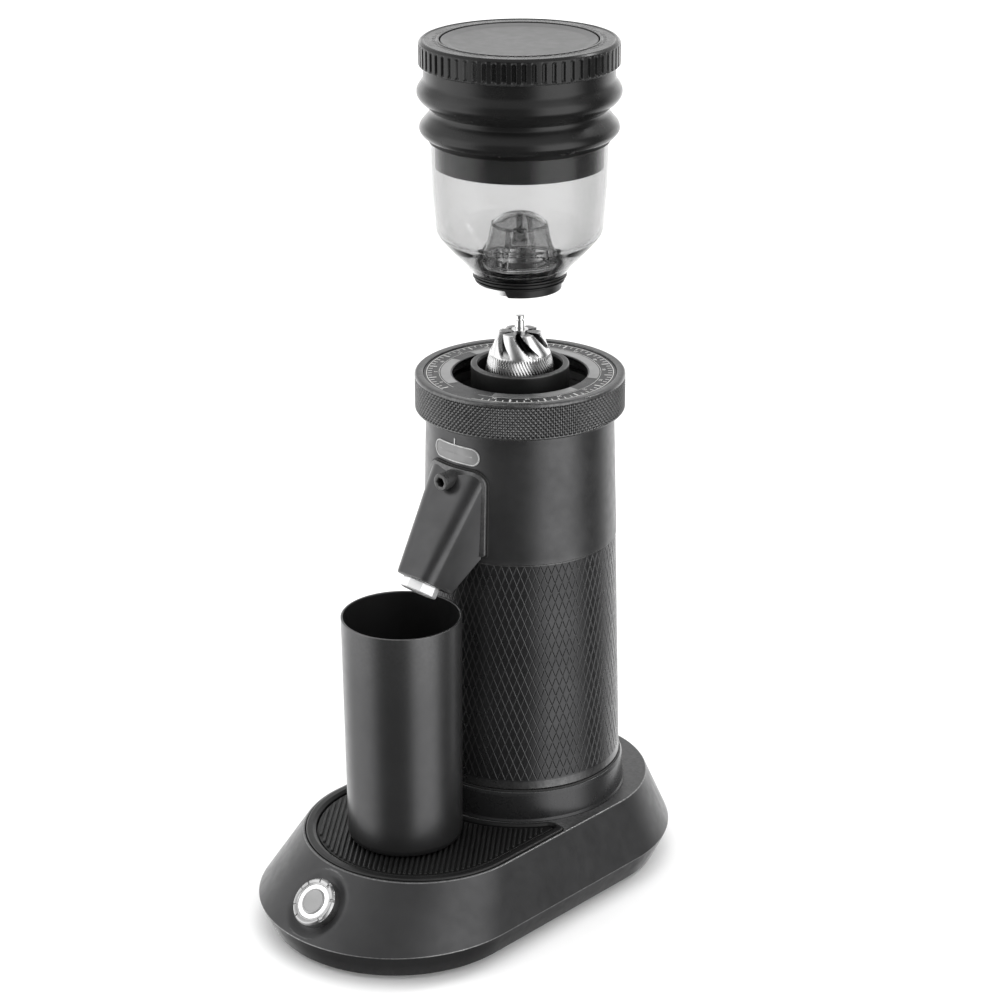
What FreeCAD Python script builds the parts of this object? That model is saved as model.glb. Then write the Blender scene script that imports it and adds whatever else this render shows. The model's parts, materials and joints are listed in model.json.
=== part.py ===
import FreeCAD, Part
import Sketcher
import math
import os
import re

# Single-dose burr coffee grinder.
# The origin is the middle of the footprint on the table, +Z is up and -Y is the front, where the cup stands.
# The hopper is drawn lifted off its seat, so that the burr and the dial can be seen.
# All sizes are in millimetres.

doc = FreeCAD.newDocument("BurrGrinder")
Vector = FreeCAD.Vector

# ------------------------------------------------------------------ driving dimensions

DIMENSIONS = {
    # base
    "belt_radius": 69.7,            # round end of the base at its widest
    "belt_height": 15.6,
    "belt_centre": 49.3,            # each end's centre, from the middle
    "sill_radius": 63.5,            # round end of the base at its lower edge
    "sill_height": 2.5,             # also the height of the rubber feet
    "deck_radius": 57.7,            # round end of the base's top face
    "deck_height": 43.4,
    "deck_front": 34.7,             # centre of the top face's front end, from the middle
    "shell_wall": 3.5,
    "roof_height": 37.4,            # underside of the base's roof
    "plate_radius": 59.7,
    "plate_top": 4.5,
    "foot_radius": 8.0,
    "foot_x": 38.0,
    "foot_y": 66.0,
    "base_screw_x": 50.0,
    "base_screw_y": 42.0,
    # tray and mat
    "tray_half": 56.2,              # half width of the tray
    "tray_rear_radius": 54.6,       # hollow rear edge, about the column's axis
    "tray_shoulder": 28.6,          # the tray's rear corners, in front of the column's axis
    "tray_floor": 40.4,
    "tray_top": 44.3,
    "tray_rim": 5.4,
    "tray_rear_rim": 2.5,
    "mat_low": 41.7,
    "mat_high": 43.9,
    # column
    "column_y": 39.2,
    "column_low_radius": 50.0,      # taper of the column's outside
    "column_high_radius": 45.75,
    "plinth_low_radius": 52.8,
    "plinth_high_radius": 51.2,
    "plinth_top": 59.1,
    "gasket_top": 60.1,
    "column_joint": 179.1,          # where the knurled lower tube meets the smooth upper one
    "column_top": 243.5,
    "upper_step": 0.3,              # how far the upper tube stands proud of the lower one
    "lower_bore": 44.2,
    "ledge_bore": 42.6,
    "upper_bore": 42.0,
    # motor and gearbox
    "motor_radius": 30.0,
    "motor_low": 62.0,
    "motor_high": 138.0,
    "mount_top": 143.0,
    "shaft_radius": 2.5,
    "gear_module": 0.8,
    "sun_teeth": 12,
    "planet_teeth": 24,
    "ring_teeth": 60,
    "gear_low": 147.0,
    "gear_high": 157.0,
    "carrier_high": 161.5,
    "gearbox_top": 163.0,
    "cover_top": 174.0,
    "pin_radius": 2.0,
    "drive_radius": 4.0,
    "bearing_bore": 4.0,
    "bearing_outer": 11.0,
    "bearing_width": 7.0,
    "bearing_low": 166.0,
    "bearing_high": 184.0,
    "ball_radius": 1.98,
    "ball_count": 7,
    # grinding chamber and burrs
    "chamber_low": 182.0,
    "chamber_floor": 192.0,
    "chamber_radius": 41.2,
    "chamber_bore": 37.5,
    "chamber_top": 252.0,
    "port_low": 193.0,
    "port_high": 212.0,
    "port_half": 9.0,
    "burr_low": 254.0,
    "burr_radius": 16.9,
    "burr_blade_low": 271.0,
    "burr_blade_radius": 14.9,
    "burr_tip": 281.7,
    "burr_tip_radius": 10.1,
    "pin_top": 290.0,
    "burr_pin_radius": 2.4,
    "flute_count": 6,
    # adjusting ring, dial and burr carrier
    "ring_radius": 51.0,
    "ring_low": 243.9,
    "ring_high": 261.9,
    "ring_bore": 41.0,
    "ring_lip": 46.8,
    "dial_bore": 32.8,
    "dial_top": 261.2,
    "web_low": 256.6,
    "carrier_radius": 23.8,
    "carrier_bore": 20.4,
    "carrier_flange": 37.0,
    "carrier_low": 244.0,
    "carrier_top": 266.0,
    # chute and spout
    "chute_top": 225.0,
    "chute_low": 183.0,
    "chute_half": 19.5,
    "tip_front": 78.0,              # the chute's end face, from the column's axis
    "tip_front_height": 178.5,
    "tip_back": 61.5,
    "tip_back_height": 166.5,
    "tip_half": 11.5,
    "gasket_step": 0.8,             # thickness of the gasket behind the chute
    "duct_start": 38.0,             # where the chute's taper begins, inside the column
    "duct_edge": 43.0,              # where the chute's lower face meets the column
    "spout_radius": 9.2,
    "spout_bore": 7.2,
    "spout_reach": 5.2,
    "screw_height": 219.7,
    "screw_head": 4.3,
    "screw_face": 56.4,
    # badge
    "badge_low": 227.4,
    "badge_high": 236.4,
    "badge_half": 14.5,
    # cup
    "cup_y": -44.8,
    "cup_top_radius": 29.0,
    "cup_low_radius": 28.0,
    "cup_top": 160.2,
    "cup_wall": 1.1,
    # hopper, as lifted
    "hopper_seat": 307.7,           # underside of the neck's flange
    "neck_radius": 22.6,
    "spigot_radius": 20.0,
    "spigot_low": 304.0,
    "throat_radius": 18.9,
    "neck_top": 317.0,
    "jar_low": 312.1,
    "jar_wall_radius": 42.0,
    "jar_top": 376.0,
    "jar_shoulder": 332.7,
    "jar_cone_top": 323.3,
    "jar_thickness": 1.8,
    "guard_rim": 335.4,
    "guard_crown": 341.0,
    "plug_low": 364.4,
    "bellows_crest": 48.1,
    "lid_low": 411.3,
    "lid_top": 423.5,
    "lid_radius": 46.9,
    # switch
    "switch_height": 29.4,
    "bezel_radius": 12.0,
    "bezel_height": 3.4,            # how far the bezel stands out of the sloping front
    "barrel_radius": 9.5,
    "light_outer": 7.8,
    "light_inner": 5.8,
    "light_low": -6.0,              # foot of the lit ring, behind the sloping front
    "cap_radius": 5.5,
    "inlet_height": 26.0,
}

sheet = doc.addObject("Spreadsheet::Sheet", "Dims")
for row, (alias, size) in enumerate(DIMENSIONS.items(), start=1):
    sheet.set("A%d" % row, alias.replace("_", " "))
    sheet.set("B%d" % row, str(size))
    sheet.setAlias("B%d" % row, alias)
doc.recompute()

# ------------------------------------------------------------------ helpers


def bound(formula):
    """The formula with every dimension's name pointed at the sheet; a name before a bracket is a function."""
    return re.sub(r"\b[a-z][a-z_]*\b(?!\()", lambda word: "Dims." + word.group(0), str(formula))


def size(formula):
    """The formula's value in millimetres."""
    return float(sheet.evalExpression(bound(formula)))


def bind(item, prop, formula):
    item.setExpression(prop, bound(formula))


def rename(item, label):
    item.Label = label
    return item


def new_sketch(body, name, plane, shift="0", tilt=None):
    """A sketch on one of the body's own planes, moved along the plane's normal by the shift."""
    sketch = body.newObject("Sketcher::SketchObject", name)
    origin = [feature for feature in body.Origin.OriginFeatures if feature.Role == plane][0]
    sketch.AttachmentSupport = [(origin, "")]
    sketch.MapMode = "FlatFace"
    if tilt is not None:
        sketch.AttachmentOffset = tilt
    else:
        bind(sketch, "AttachmentOffset.Base.z", shift)
    return sketch


def pin_point(sketch, edge, end, x_formula, y_formula):
    """Fix one end of an edge at a place worked out from the sheet."""
    for kind, formula in (("DistanceX", x_formula), ("DistanceY", y_formula)):
        number = sketch.addConstraint(Sketcher.Constraint(kind, -1, 1, edge, end, size(formula)))
        bind(sketch, "Constraints[%d]" % number, formula)


def draw_polygon(sketch, corners):
    """A closed outline of straight lines through the corners."""
    places = [Vector(size(x), size(y), 0) for x, y in corners]
    count = len(places)
    for index in range(count):
        sketch.addGeometry(Part.LineSegment(places[index], places[(index + 1) % count]))
    for index, (x, y) in enumerate(corners):
        sketch.addConstraint(Sketcher.Constraint("Coincident", index, 2, (index + 1) % count, 1))
        pin_point(sketch, index, 1, x, y)


def draw_arc(sketch, radius, y, start, end):
    """An arc about a point on the sketch's vertical axis, between two angles in degrees."""
    circle = Part.Circle(Vector(0, size(y), 0), Vector(0, 0, 1), size(radius))
    edge = sketch.addGeometry(Part.ArcOfCircle(circle, math.radians(start), math.radians(end)))
    pin_point(sketch, edge, 3, "0", y)
    number = sketch.addConstraint(Sketcher.Constraint("Radius", edge, size(radius)))
    bind(sketch, "Constraints[%d]" % number, radius)
    return edge


def draw_stadium(sketch, radius, front, back):
    """Two half circles joined by straight sides; front and back are the distances of their centres."""
    front_arc = draw_arc(sketch, radius, "-(%s)" % front, 180, 360)
    back_arc = draw_arc(sketch, radius, back, 0, 180)
    reach = size(radius)
    low = -size(front)
    high = size(back)
    right = sketch.addGeometry(Part.LineSegment(Vector(reach, low, 0), Vector(reach, high, 0)))
    left = sketch.addGeometry(Part.LineSegment(Vector(-reach, high, 0), Vector(-reach, low, 0)))
    loop = [front_arc, right, back_arc, left]
    for first, second in zip(loop, loop[1:] + loop[:1]):
        sketch.addConstraint(Sketcher.Constraint("Coincident", first, 2, second, 1))
    for arc in (front_arc, back_arc):
        for end in (1, 2):
            sketch.addConstraint(Sketcher.Constraint("Horizontal", arc, 3, arc, end))


def on_column(item):
    bind(item, "Placement.Base.y", "column_y")
    return item


def turned(name, outline, place=on_column):
    """A body turned about its own upright axis; the outline's corners are (radius, height)."""
    body = doc.addObject("PartDesign::Body", name)
    sketch = new_sketch(body, name + "_profile", "XZ_Plane")
    draw_polygon(sketch, outline)
    turn = body.newObject("PartDesign::Revolution", name + "_turn")
    turn.Profile = sketch
    turn.ReferenceAxis = (sketch, ["V_Axis"])
    turn.Angle = 360
    body.Tip = turn
    if place is not None:
        place(body)
    return body


def rectangle(inner, outer, low, high):
    """The outline of a plain tube or disc, for turned()."""
    return [(inner, low), (outer, low), (outer, high), (inner, high)]


def raised(name, low, high, draw, place=None):
    """A body raised from the sketch that draw() fills in, between two heights."""
    body = doc.addObject("PartDesign::Body", name)
    sketch = new_sketch(body, name + "_outline", "XY_Plane", low)
    draw(sketch)
    pad = body.newObject("PartDesign::Pad", name + "_pad")
    pad.Profile = sketch
    bind(pad, "Length", "(%s) - (%s)" % (high, low))
    body.Tip = pad
    if place is not None:
        place(body)
    return body


def cylinder(name, radius, low, high, x="0", y="0"):
    item = doc.addObject("Part::Cylinder", name)
    bind(item, "Radius", radius)
    bind(item, "Height", "(%s) - (%s)" % (high, low))
    bind(item, "Placement.Base.x", x)
    bind(item, "Placement.Base.y", y)
    bind(item, "Placement.Base.z", low)
    return item


def box(name, length, width, tall, x, y, z):
    """A box whose middle is at x, y and whose underside is at z."""
    item = doc.addObject("Part::Box", name)
    bind(item, "Length", length)
    bind(item, "Width", width)
    bind(item, "Height", tall)
    bind(item, "Placement.Base.x", "(%s) - (%s) / 2" % (x, length))
    bind(item, "Placement.Base.y", "(%s) - (%s) / 2" % (y, width))
    bind(item, "Placement.Base.z", z)
    return item


def joined(name, items):
    fuse = doc.addObject("Part::MultiFuse", name)
    fuse.Shapes = items
    return fuse


def together(name, items):
    """Separate solids kept in one group."""
    group = doc.addObject("Part::Compound", name)
    group.Links = items
    return group


cuts = []


def cut(name, base, tools):
    item = doc.addObject("Part::Cut", name)
    item.Base = base
    item.Tool = tools[0] if len(tools) == 1 else joined(name + "_tools", tools)
    cuts.append(item)
    return item


def common(name, items):
    item = doc.addObject("Part::MultiCommon", name)
    item.Shapes = items
    return item


def fixed(name, shape):
    """A feature that holds a worked-out shape, such as a set of gear teeth."""
    item = doc.addObject("Part::Feature", name)
    item.Shape = shape
    return item


def around(count, radius, start=0.0, y=0.0):
    """Evenly spaced points on a circle, as numbers."""
    for index in range(count):
        angle = math.radians(start + 360.0 * index / count)
        yield radius * math.cos(angle), y + radius * math.sin(angle)


nodes = {}


def keep(item, label=None):
    """Mark an object as one of the grinder's pieces."""
    rename(item, label or item.Name)
    nodes[item.Label] = item
    return item


def column_radius(height):
    """Formula for the column's outer radius at a height."""
    return (
        "column_low_radius - (column_low_radius - column_high_radius)"
        " * (%s - plinth_top) / (column_top - plinth_top)" % height
    )


def upper_radius(height):
    """Formula for the smooth upper tube's radius; it stands a little proud of the lower tube at the joint."""
    return (
        "column_high_radius + (%s + upper_step - column_high_radius)"
        " * (column_top - (%s)) / (column_top - column_joint)" % (column_radius("column_joint"), height)
    )


COLUMN_Y = size("column_y")

# the switch and the power inlet stand square to the base's sloping ends
front_slope = Vector(
    0,
    size("(deck_front + deck_radius) - (belt_centre + belt_radius)"),
    size("deck_height - belt_height"),
)
front_normal = Vector(0, -front_slope.z, -front_slope.y).normalize()
front_share = (size("switch_height") - size("belt_height")) / front_slope.z
switch_point = Vector(
    0, -size("belt_centre + belt_radius") - front_share * front_slope.y, size("switch_height")
)
front_place = FreeCAD.Placement(switch_point, FreeCAD.Rotation(Vector(0, 0, 1), front_normal))

back_slope = Vector(0, size("deck_radius - belt_radius"), size("deck_height - belt_height"))
back_normal = Vector(0, back_slope.z, -back_slope.y).normalize()
back_share = (size("inlet_height") - size("belt_height")) / back_slope.z
inlet_point = Vector(
    0, size("belt_centre + belt_radius") + back_share * back_slope.y, size("inlet_height")
)
back_place = FreeCAD.Placement(inlet_point, FreeCAD.Rotation(Vector(0, 0, 1), back_normal))


def on_front(item):
    item.Placement = front_place


def on_back(item):
    item.Placement = back_place


# ------------------------------------------------------------------ base


def lofted(body, name, kind, sections):
    """A straight-sided loft through stadium outlines given as (height, radius, front, back)."""
    sketches = []
    for index, (height, radius, front, back) in enumerate(sections):
        sketch = new_sketch(body, "%s_section_%d" % (name, index + 1), "XY_Plane", height)
        draw_stadium(sketch, radius, front, back)
        sketches.append(sketch)
    doc.recompute()
    loft = body.newObject(kind, name)
    loft.Profile = sketches[0]
    loft.Sections = sketches[1:]
    loft.Ruled = True
    body.Tip = loft
    return loft


def draw_tray(sketch, inset, rear_inset):
    """The tray's outline: round in front, hollow behind where the column stands."""
    half = "tray_half - %s" % inset
    shoulder = "column_y - tray_shoulder - %s" % rear_inset
    radius = "tray_rear_radius + %s" % rear_inset
    meet = "sqrt((%s) * (%s) - (tray_shoulder + %s) * (tray_shoulder + %s))" % (
        radius, radius, rear_inset, rear_inset,
    )
    front_arc = draw_arc(sketch, half, "-deck_front", 180, 360)
    edge = size(half)
    front = -size("deck_front")
    back = size(shoulder)
    corner = size(meet)
    angle = math.degrees(math.atan2(back - COLUMN_Y, corner))
    side = sketch.addGeometry(Part.LineSegment(Vector(edge, front, 0), Vector(edge, back, 0)))
    step = sketch.addGeometry(Part.LineSegment(Vector(edge, back, 0), Vector(corner, back, 0)))
    rear_arc = draw_arc(sketch, radius, "column_y", -180 - angle, angle)
    far_step = sketch.addGeometry(Part.LineSegment(Vector(-corner, back, 0), Vector(-edge, back, 0)))
    far_side = sketch.addGeometry(Part.LineSegment(Vector(-edge, back, 0), Vector(-edge, front, 0)))
    joins = [
        (front_arc, 2, side, 1), (side, 2, step, 1), (step, 2, rear_arc, 2),
        (rear_arc, 1, far_step, 1), (far_step, 2, far_side, 1), (far_side, 2, front_arc, 1),
    ]
    for first, first_end, second, second_end in joins:
        sketch.addConstraint(Sketcher.Constraint("Coincident", first, first_end, second, second_end))
    for end in (1, 2):
        sketch.addConstraint(Sketcher.Constraint("Horizontal", front_arc, 3, front_arc, end))
    pin_point(sketch, side, 2, half, shoulder)
    pin_point(sketch, far_side, 1, "-(%s)" % half, shoulder)
    for line in (step, far_step):
        sketch.addConstraint(Sketcher.Constraint("Horizontal", line))


def tray_block(name, low, high, inset, rear_inset):
    return raised(name, low, high, lambda sketch: draw_tray(sketch, inset, rear_inset))


def screw_places():
    """The base plate's four screws, near its corners."""
    across = size("base_screw_x")
    along = size("base_screw_y")
    return [(-across, -along), (across, -along), (-across, along), (across, along)]


def stand_at(x, y):
    """A placing function for turned(): move the piece to a place in plan."""
    def place(item):
        item.Placement = FreeCAD.Placement(Vector(x, y, 0), FreeCAD.Rotation())
    return place


def make_base():
    shell = doc.addObject("PartDesign::Body", "shell_body")
    lofted(shell, "shell_outside", "PartDesign::AdditiveLoft", [
        ("sill_height", "sill_radius", "belt_centre", "belt_centre"),
        ("belt_height", "belt_radius", "belt_centre", "belt_centre"),
        ("deck_height", "deck_radius", "deck_front", "belt_centre"),
    ])
    share = "(roof_height - belt_height) / (deck_height - belt_height)"
    roof_radius = "belt_radius - shell_wall - (belt_radius - deck_radius) * %s" % share
    roof_front = "belt_centre - (belt_centre - deck_front) * %s" % share
    lofted(shell, "shell_hollow", "PartDesign::SubtractiveLoft", [
        ("sill_height", "plate_radius + 0.3", "belt_centre", "belt_centre"),
        ("belt_height", "belt_radius - shell_wall", "belt_centre", "belt_centre"),
        ("roof_height", roof_radius, roof_front, "belt_centre"),
    ])
    bosses = [
        cylinder("boss_%d" % index, "4", "plate_top", "roof_height + 1", str(x), str(y))
        for index, (x, y) in enumerate(screw_places(), start=1)
    ]
    solid = joined("shell_with_bosses", [shell] + bosses)
    tray_seat = tray_block("tray_seat", "tray_floor", "deck_height + 5", "-0.4", "-0.4")
    cable_hole = cylinder("cable_hole", "12", "roof_height - 2", "deck_height + 2", "0", "column_y")
    pilots = [
        cylinder("pilot_%d" % index, "1.5", "plate_top - 2", "roof_height - 8", str(x), str(y))
        for index, (x, y) in enumerate(screw_places(), start=1)
    ]
    plinth_holes = [
        cylinder("plinth_hole_%d" % index, "2", "roof_height - 2", "deck_height + 2", str(x), str(y))
        for index, (x, y) in enumerate(around(4, 47.5, 45, COLUMN_Y), start=1)
    ]
    switch_hole = turned("switch_hole", rectangle("0", "barrel_radius", "-9", "4"), on_front)
    inlet_hole = turned("inlet_hole", rectangle("0", "6", "-9", "4"), on_back)
    tools = [tray_seat, cable_hole, switch_hole, inlet_hole] + pilots + plinth_holes
    keep(cut("base_shell", solid, tools))

    plate = raised("plate_sheet", "sill_height", "plate_top",
                   lambda sketch: draw_stadium(sketch, "plate_radius", "belt_centre", "belt_centre"))
    posts = [
        cylinder("board_post_%d" % (2 * column + side + 1), "3", "plate_top - 1", "8",
                 str(-24 + 48 * side), str(-60 + 56 * column))
        for column in range(2) for side in range(2)
    ]
    countersinks = [
        turned("countersink_%d" % index,
               [("0", "sill_height"), ("3.2", "sill_height"), ("1.5", "plate_top"), ("0", "plate_top")],
               stand_at(x, y))
        for index, (x, y) in enumerate(screw_places(), start=1)
    ]
    keep(cut("base_plate", joined("plate_with_posts", [plate] + posts), countersinks))

    screws = [
        turned("base_screw_%d" % index, [
            ("0", "sill_height"), ("3.2", "sill_height"), ("1.5", "plate_top"), ("1.5", "14"), ("0", "14"),
        ], stand_at(x, y))
        for index, (x, y) in enumerate(screw_places(), start=1)
    ]
    keep(together("base_screws", screws))

    feet = [
        cylinder("foot_%d" % (2 * row + side + 1), "foot_radius", "0", "sill_height",
                 "foot_x * %d" % (2 * side - 1), "foot_y * %d" % (2 * row - 1))
        for row in range(2) for side in range(2)
    ]
    keep(together("rubber_feet", feet))

    block = tray_block("tray_outside", "tray_floor", "tray_top", "0", "0")
    hollow = tray_block("tray_inside", "mat_low", "tray_top + 2", "tray_rim", "tray_rear_rim")
    keep(cut("drip_tray", block, [hollow]))
    keep(tray_block("tray_mat", "mat_low", "mat_high", "(tray_rim + 0.3)", "(tray_rear_rim + 0.3)"))

    board = box("board_sheet", "60", "76", "1.6", "0", "-32", "8")
    relay = box("board_relay", "16", "20", "14", "-16", "-14", "9.6")
    transformer = box("board_transformer", "20", "18", "16", "14", "-16", "9.6")
    heatsink = box("board_heatsink", "4", "30", "18", "22", "-46", "9.6")
    capacitors = [
        cylinder("board_capacitor_%d" % index, "4", "9.6", "22", str(-20 + 10 * index), "-44")
        for index in range(3)
    ]
    keep(joined("control_board", [board, relay, transformer, heatsink] + capacitors))


def make_switch():
    """Round push switch in the sloping front: bezel, barrel, lit ring, moving cap and back nut."""
    bezel = turned("bezel_body", [
        ("0", "-18"), ("barrel_radius", "-18"), ("barrel_radius", "0"), ("bezel_radius", "0"),
        ("bezel_radius", "bezel_height - 1"), ("bezel_radius - 1.4", "bezel_height"),
        ("light_outer", "bezel_height - 0.4"), ("light_outer", "light_low"), ("0", "light_low"),
    ], on_front)
    keep(bezel, "switch_bezel")
    keep(turned("light_ring", [
        ("light_inner", "light_low"), ("light_outer", "light_low"),
        ("light_outer", "bezel_height - 0.4"), ("light_inner", "bezel_height - 0.4"),
    ], on_front))
    keep(turned("button_cap", [
        ("0", "light_low + 3"), ("cap_radius", "light_low + 3"), ("cap_radius", "bezel_height - 0.3"),
        ("cap_radius - 0.4", "bezel_height + 0.1"), ("0", "bezel_height + 0.1"),
    ], on_front))
    keep(turned("switch_nut", rectangle("barrel_radius", "11.4", "-6.6", "-3.6"), on_front))


def make_inlet():
    """Barrel socket for the power supply's plug, in the base's sloping back."""
    barrel = turned("inlet_barrel", [
        ("0", "-14"), ("6", "-14"), ("6", "0"), ("8.5", "0"), ("8.5", "0.8"), ("7.7", "1.5"),
        ("2.8", "1.5"), ("2.8", "-9"), ("1", "-9"), ("1", "0"), ("0", "0"),
    ], on_back)
    keep(barrel, "power_inlet")
    keep(turned("inlet_nut", rectangle("6", "8.5", "-8.5", "-5.5"), on_back))


# ------------------------------------------------------------------ column


def make_column():
    collar = turned("collar_body", [
        ("lower_bore", "deck_height"), ("plinth_low_radius", "deck_height"),
        ("plinth_high_radius + 0.4", "plinth_top - 2"), ("plinth_high_radius", "plinth_top"),
        ("lower_bore", "plinth_top"),
    ])
    holes = [
        cylinder("collar_hole_%d" % index, "2", "deck_height - 1", "deck_height + 8", str(x), str(y))
        for index, (x, y) in enumerate(around(4, 47.5, 45, COLUMN_Y), start=1)
    ]
    keep(cut("plinth_collar", collar, holes))
    screws = []
    for index, (x, y) in enumerate(around(4, 47.5, 45, COLUMN_Y), start=1):
        place = (str(x), str(y))
        head = cylinder("column_screw_head_%d" % index, "3.5", "roof_height - 3", "roof_height", *place)
        shank = cylinder("column_screw_shank_%d" % index, "2", "roof_height", "deck_height + 8", *place)
        screws.append(joined("column_screw_%d" % index, [head, shank]))
    keep(together("column_screws", screws))
    gasket = rectangle("lower_bore", "column_low_radius + 0.5", "plinth_top", "gasket_top")
    keep(turned("column_gasket", gasket))

    keep(turned("lower_column", [
        ("ledge_bore", "gasket_top"), (column_radius("gasket_top"), "gasket_top"),
        (column_radius("column_joint"), "column_joint"), ("lower_bore", "column_joint"),
        ("lower_bore", "motor_high"), ("ledge_bore", "motor_high"),
    ]))

    tube = turned("upper_tube", [
        ("upper_bore", "column_joint"), (upper_radius("column_joint"), "column_joint"),
        ("column_high_radius", "column_top"), ("upper_bore", "column_top"),
    ])
    port = box("column_port", "2 * port_half", "20", "port_high - port_low", "0", "column_y - 45", "port_low")
    screw_hole = doc.addObject("Part::Cylinder", "column_screw_hole")
    screw_hole.Placement = FreeCAD.Placement(Vector(0, COLUMN_Y - 30, size("screw_height")),
                                             FreeCAD.Rotation(Vector(0, 0, 1), Vector(0, -1, 0)))
    bind(screw_hole, "Radius", "3")
    bind(screw_hole, "Height", "25")
    keep(cut("upper_column", tube, [port, screw_hole]))

    low = upper_radius("badge_low")
    high = upper_radius("badge_high")
    band = turned("badge_band", [
        (low + " + 0.02", "badge_low"), (low + " + 0.5", "badge_low"),
        (high + " + 0.5", "badge_high"), (high + " + 0.02", "badge_high"),
    ])
    end_radius = "(badge_high - badge_low) / 2"
    middle = "(badge_high + badge_low) / 2"
    slab = box("badge_slab", "2 * (badge_half - %s)" % end_radius, "60", "badge_high - badge_low",
               "0", "column_y - 40", "badge_low")
    ends = []
    for index, side in enumerate((-1, 1), start=1):
        end = doc.addObject("Part::Cylinder", "badge_end_%d" % index)
        end.Placement = FreeCAD.Placement(
            Vector(side * size("badge_half - %s" % end_radius), COLUMN_Y - 10, size(middle)),
            FreeCAD.Rotation(Vector(0, 0, 1), Vector(0, -1, 0)))
        bind(end, "Radius", end_radius)
        bind(end, "Height", "60")
        ends.append(end)
    keep(common("index_badge", [band, joined("badge_outline", [slab] + ends)]))


# ------------------------------------------------------------------ chute

TIP_TILT = math.degrees(math.atan2(size("tip_front_height - tip_back_height"), size("tip_front - tip_back")))


def draw_hexagon(sketch, half, low, high, corner):
    """A rectangle whose two upper corners are cut off."""
    draw_polygon(sketch, [
        ("-(%s)" % half, low), (half, low), (half, "%s - %s" % (high, corner)),
        ("%s - %s" % (half, corner), high), ("%s - (%s)" % (corner, half), high),
        ("-(%s)" % half, "%s - %s" % (high, corner)),
    ])


def chute_loft(name, draw_root, draw_tip):
    """A tapering duct from the column's front to the tilted end face."""
    body = doc.addObject("PartDesign::Body", name)
    root = new_sketch(body, name + "_root", "XZ_Plane", "duct_start")
    draw_root(root)
    tip_point = Vector(0, size("tip_back_height"), size("tip_back"))
    tip = new_sketch(body, name + "_tip", "XZ_Plane",
                     tilt=FreeCAD.Placement(tip_point, FreeCAD.Rotation(Vector(1, 0, 0), 90 - TIP_TILT)))
    draw_tip(tip)
    doc.recompute()
    loft = body.newObject("PartDesign::AdditiveLoft", name + "_loft")
    loft.Profile = root
    loft.Sections = [tip]
    loft.Ruled = True
    body.Tip = loft
    on_column(body)
    return body


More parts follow.
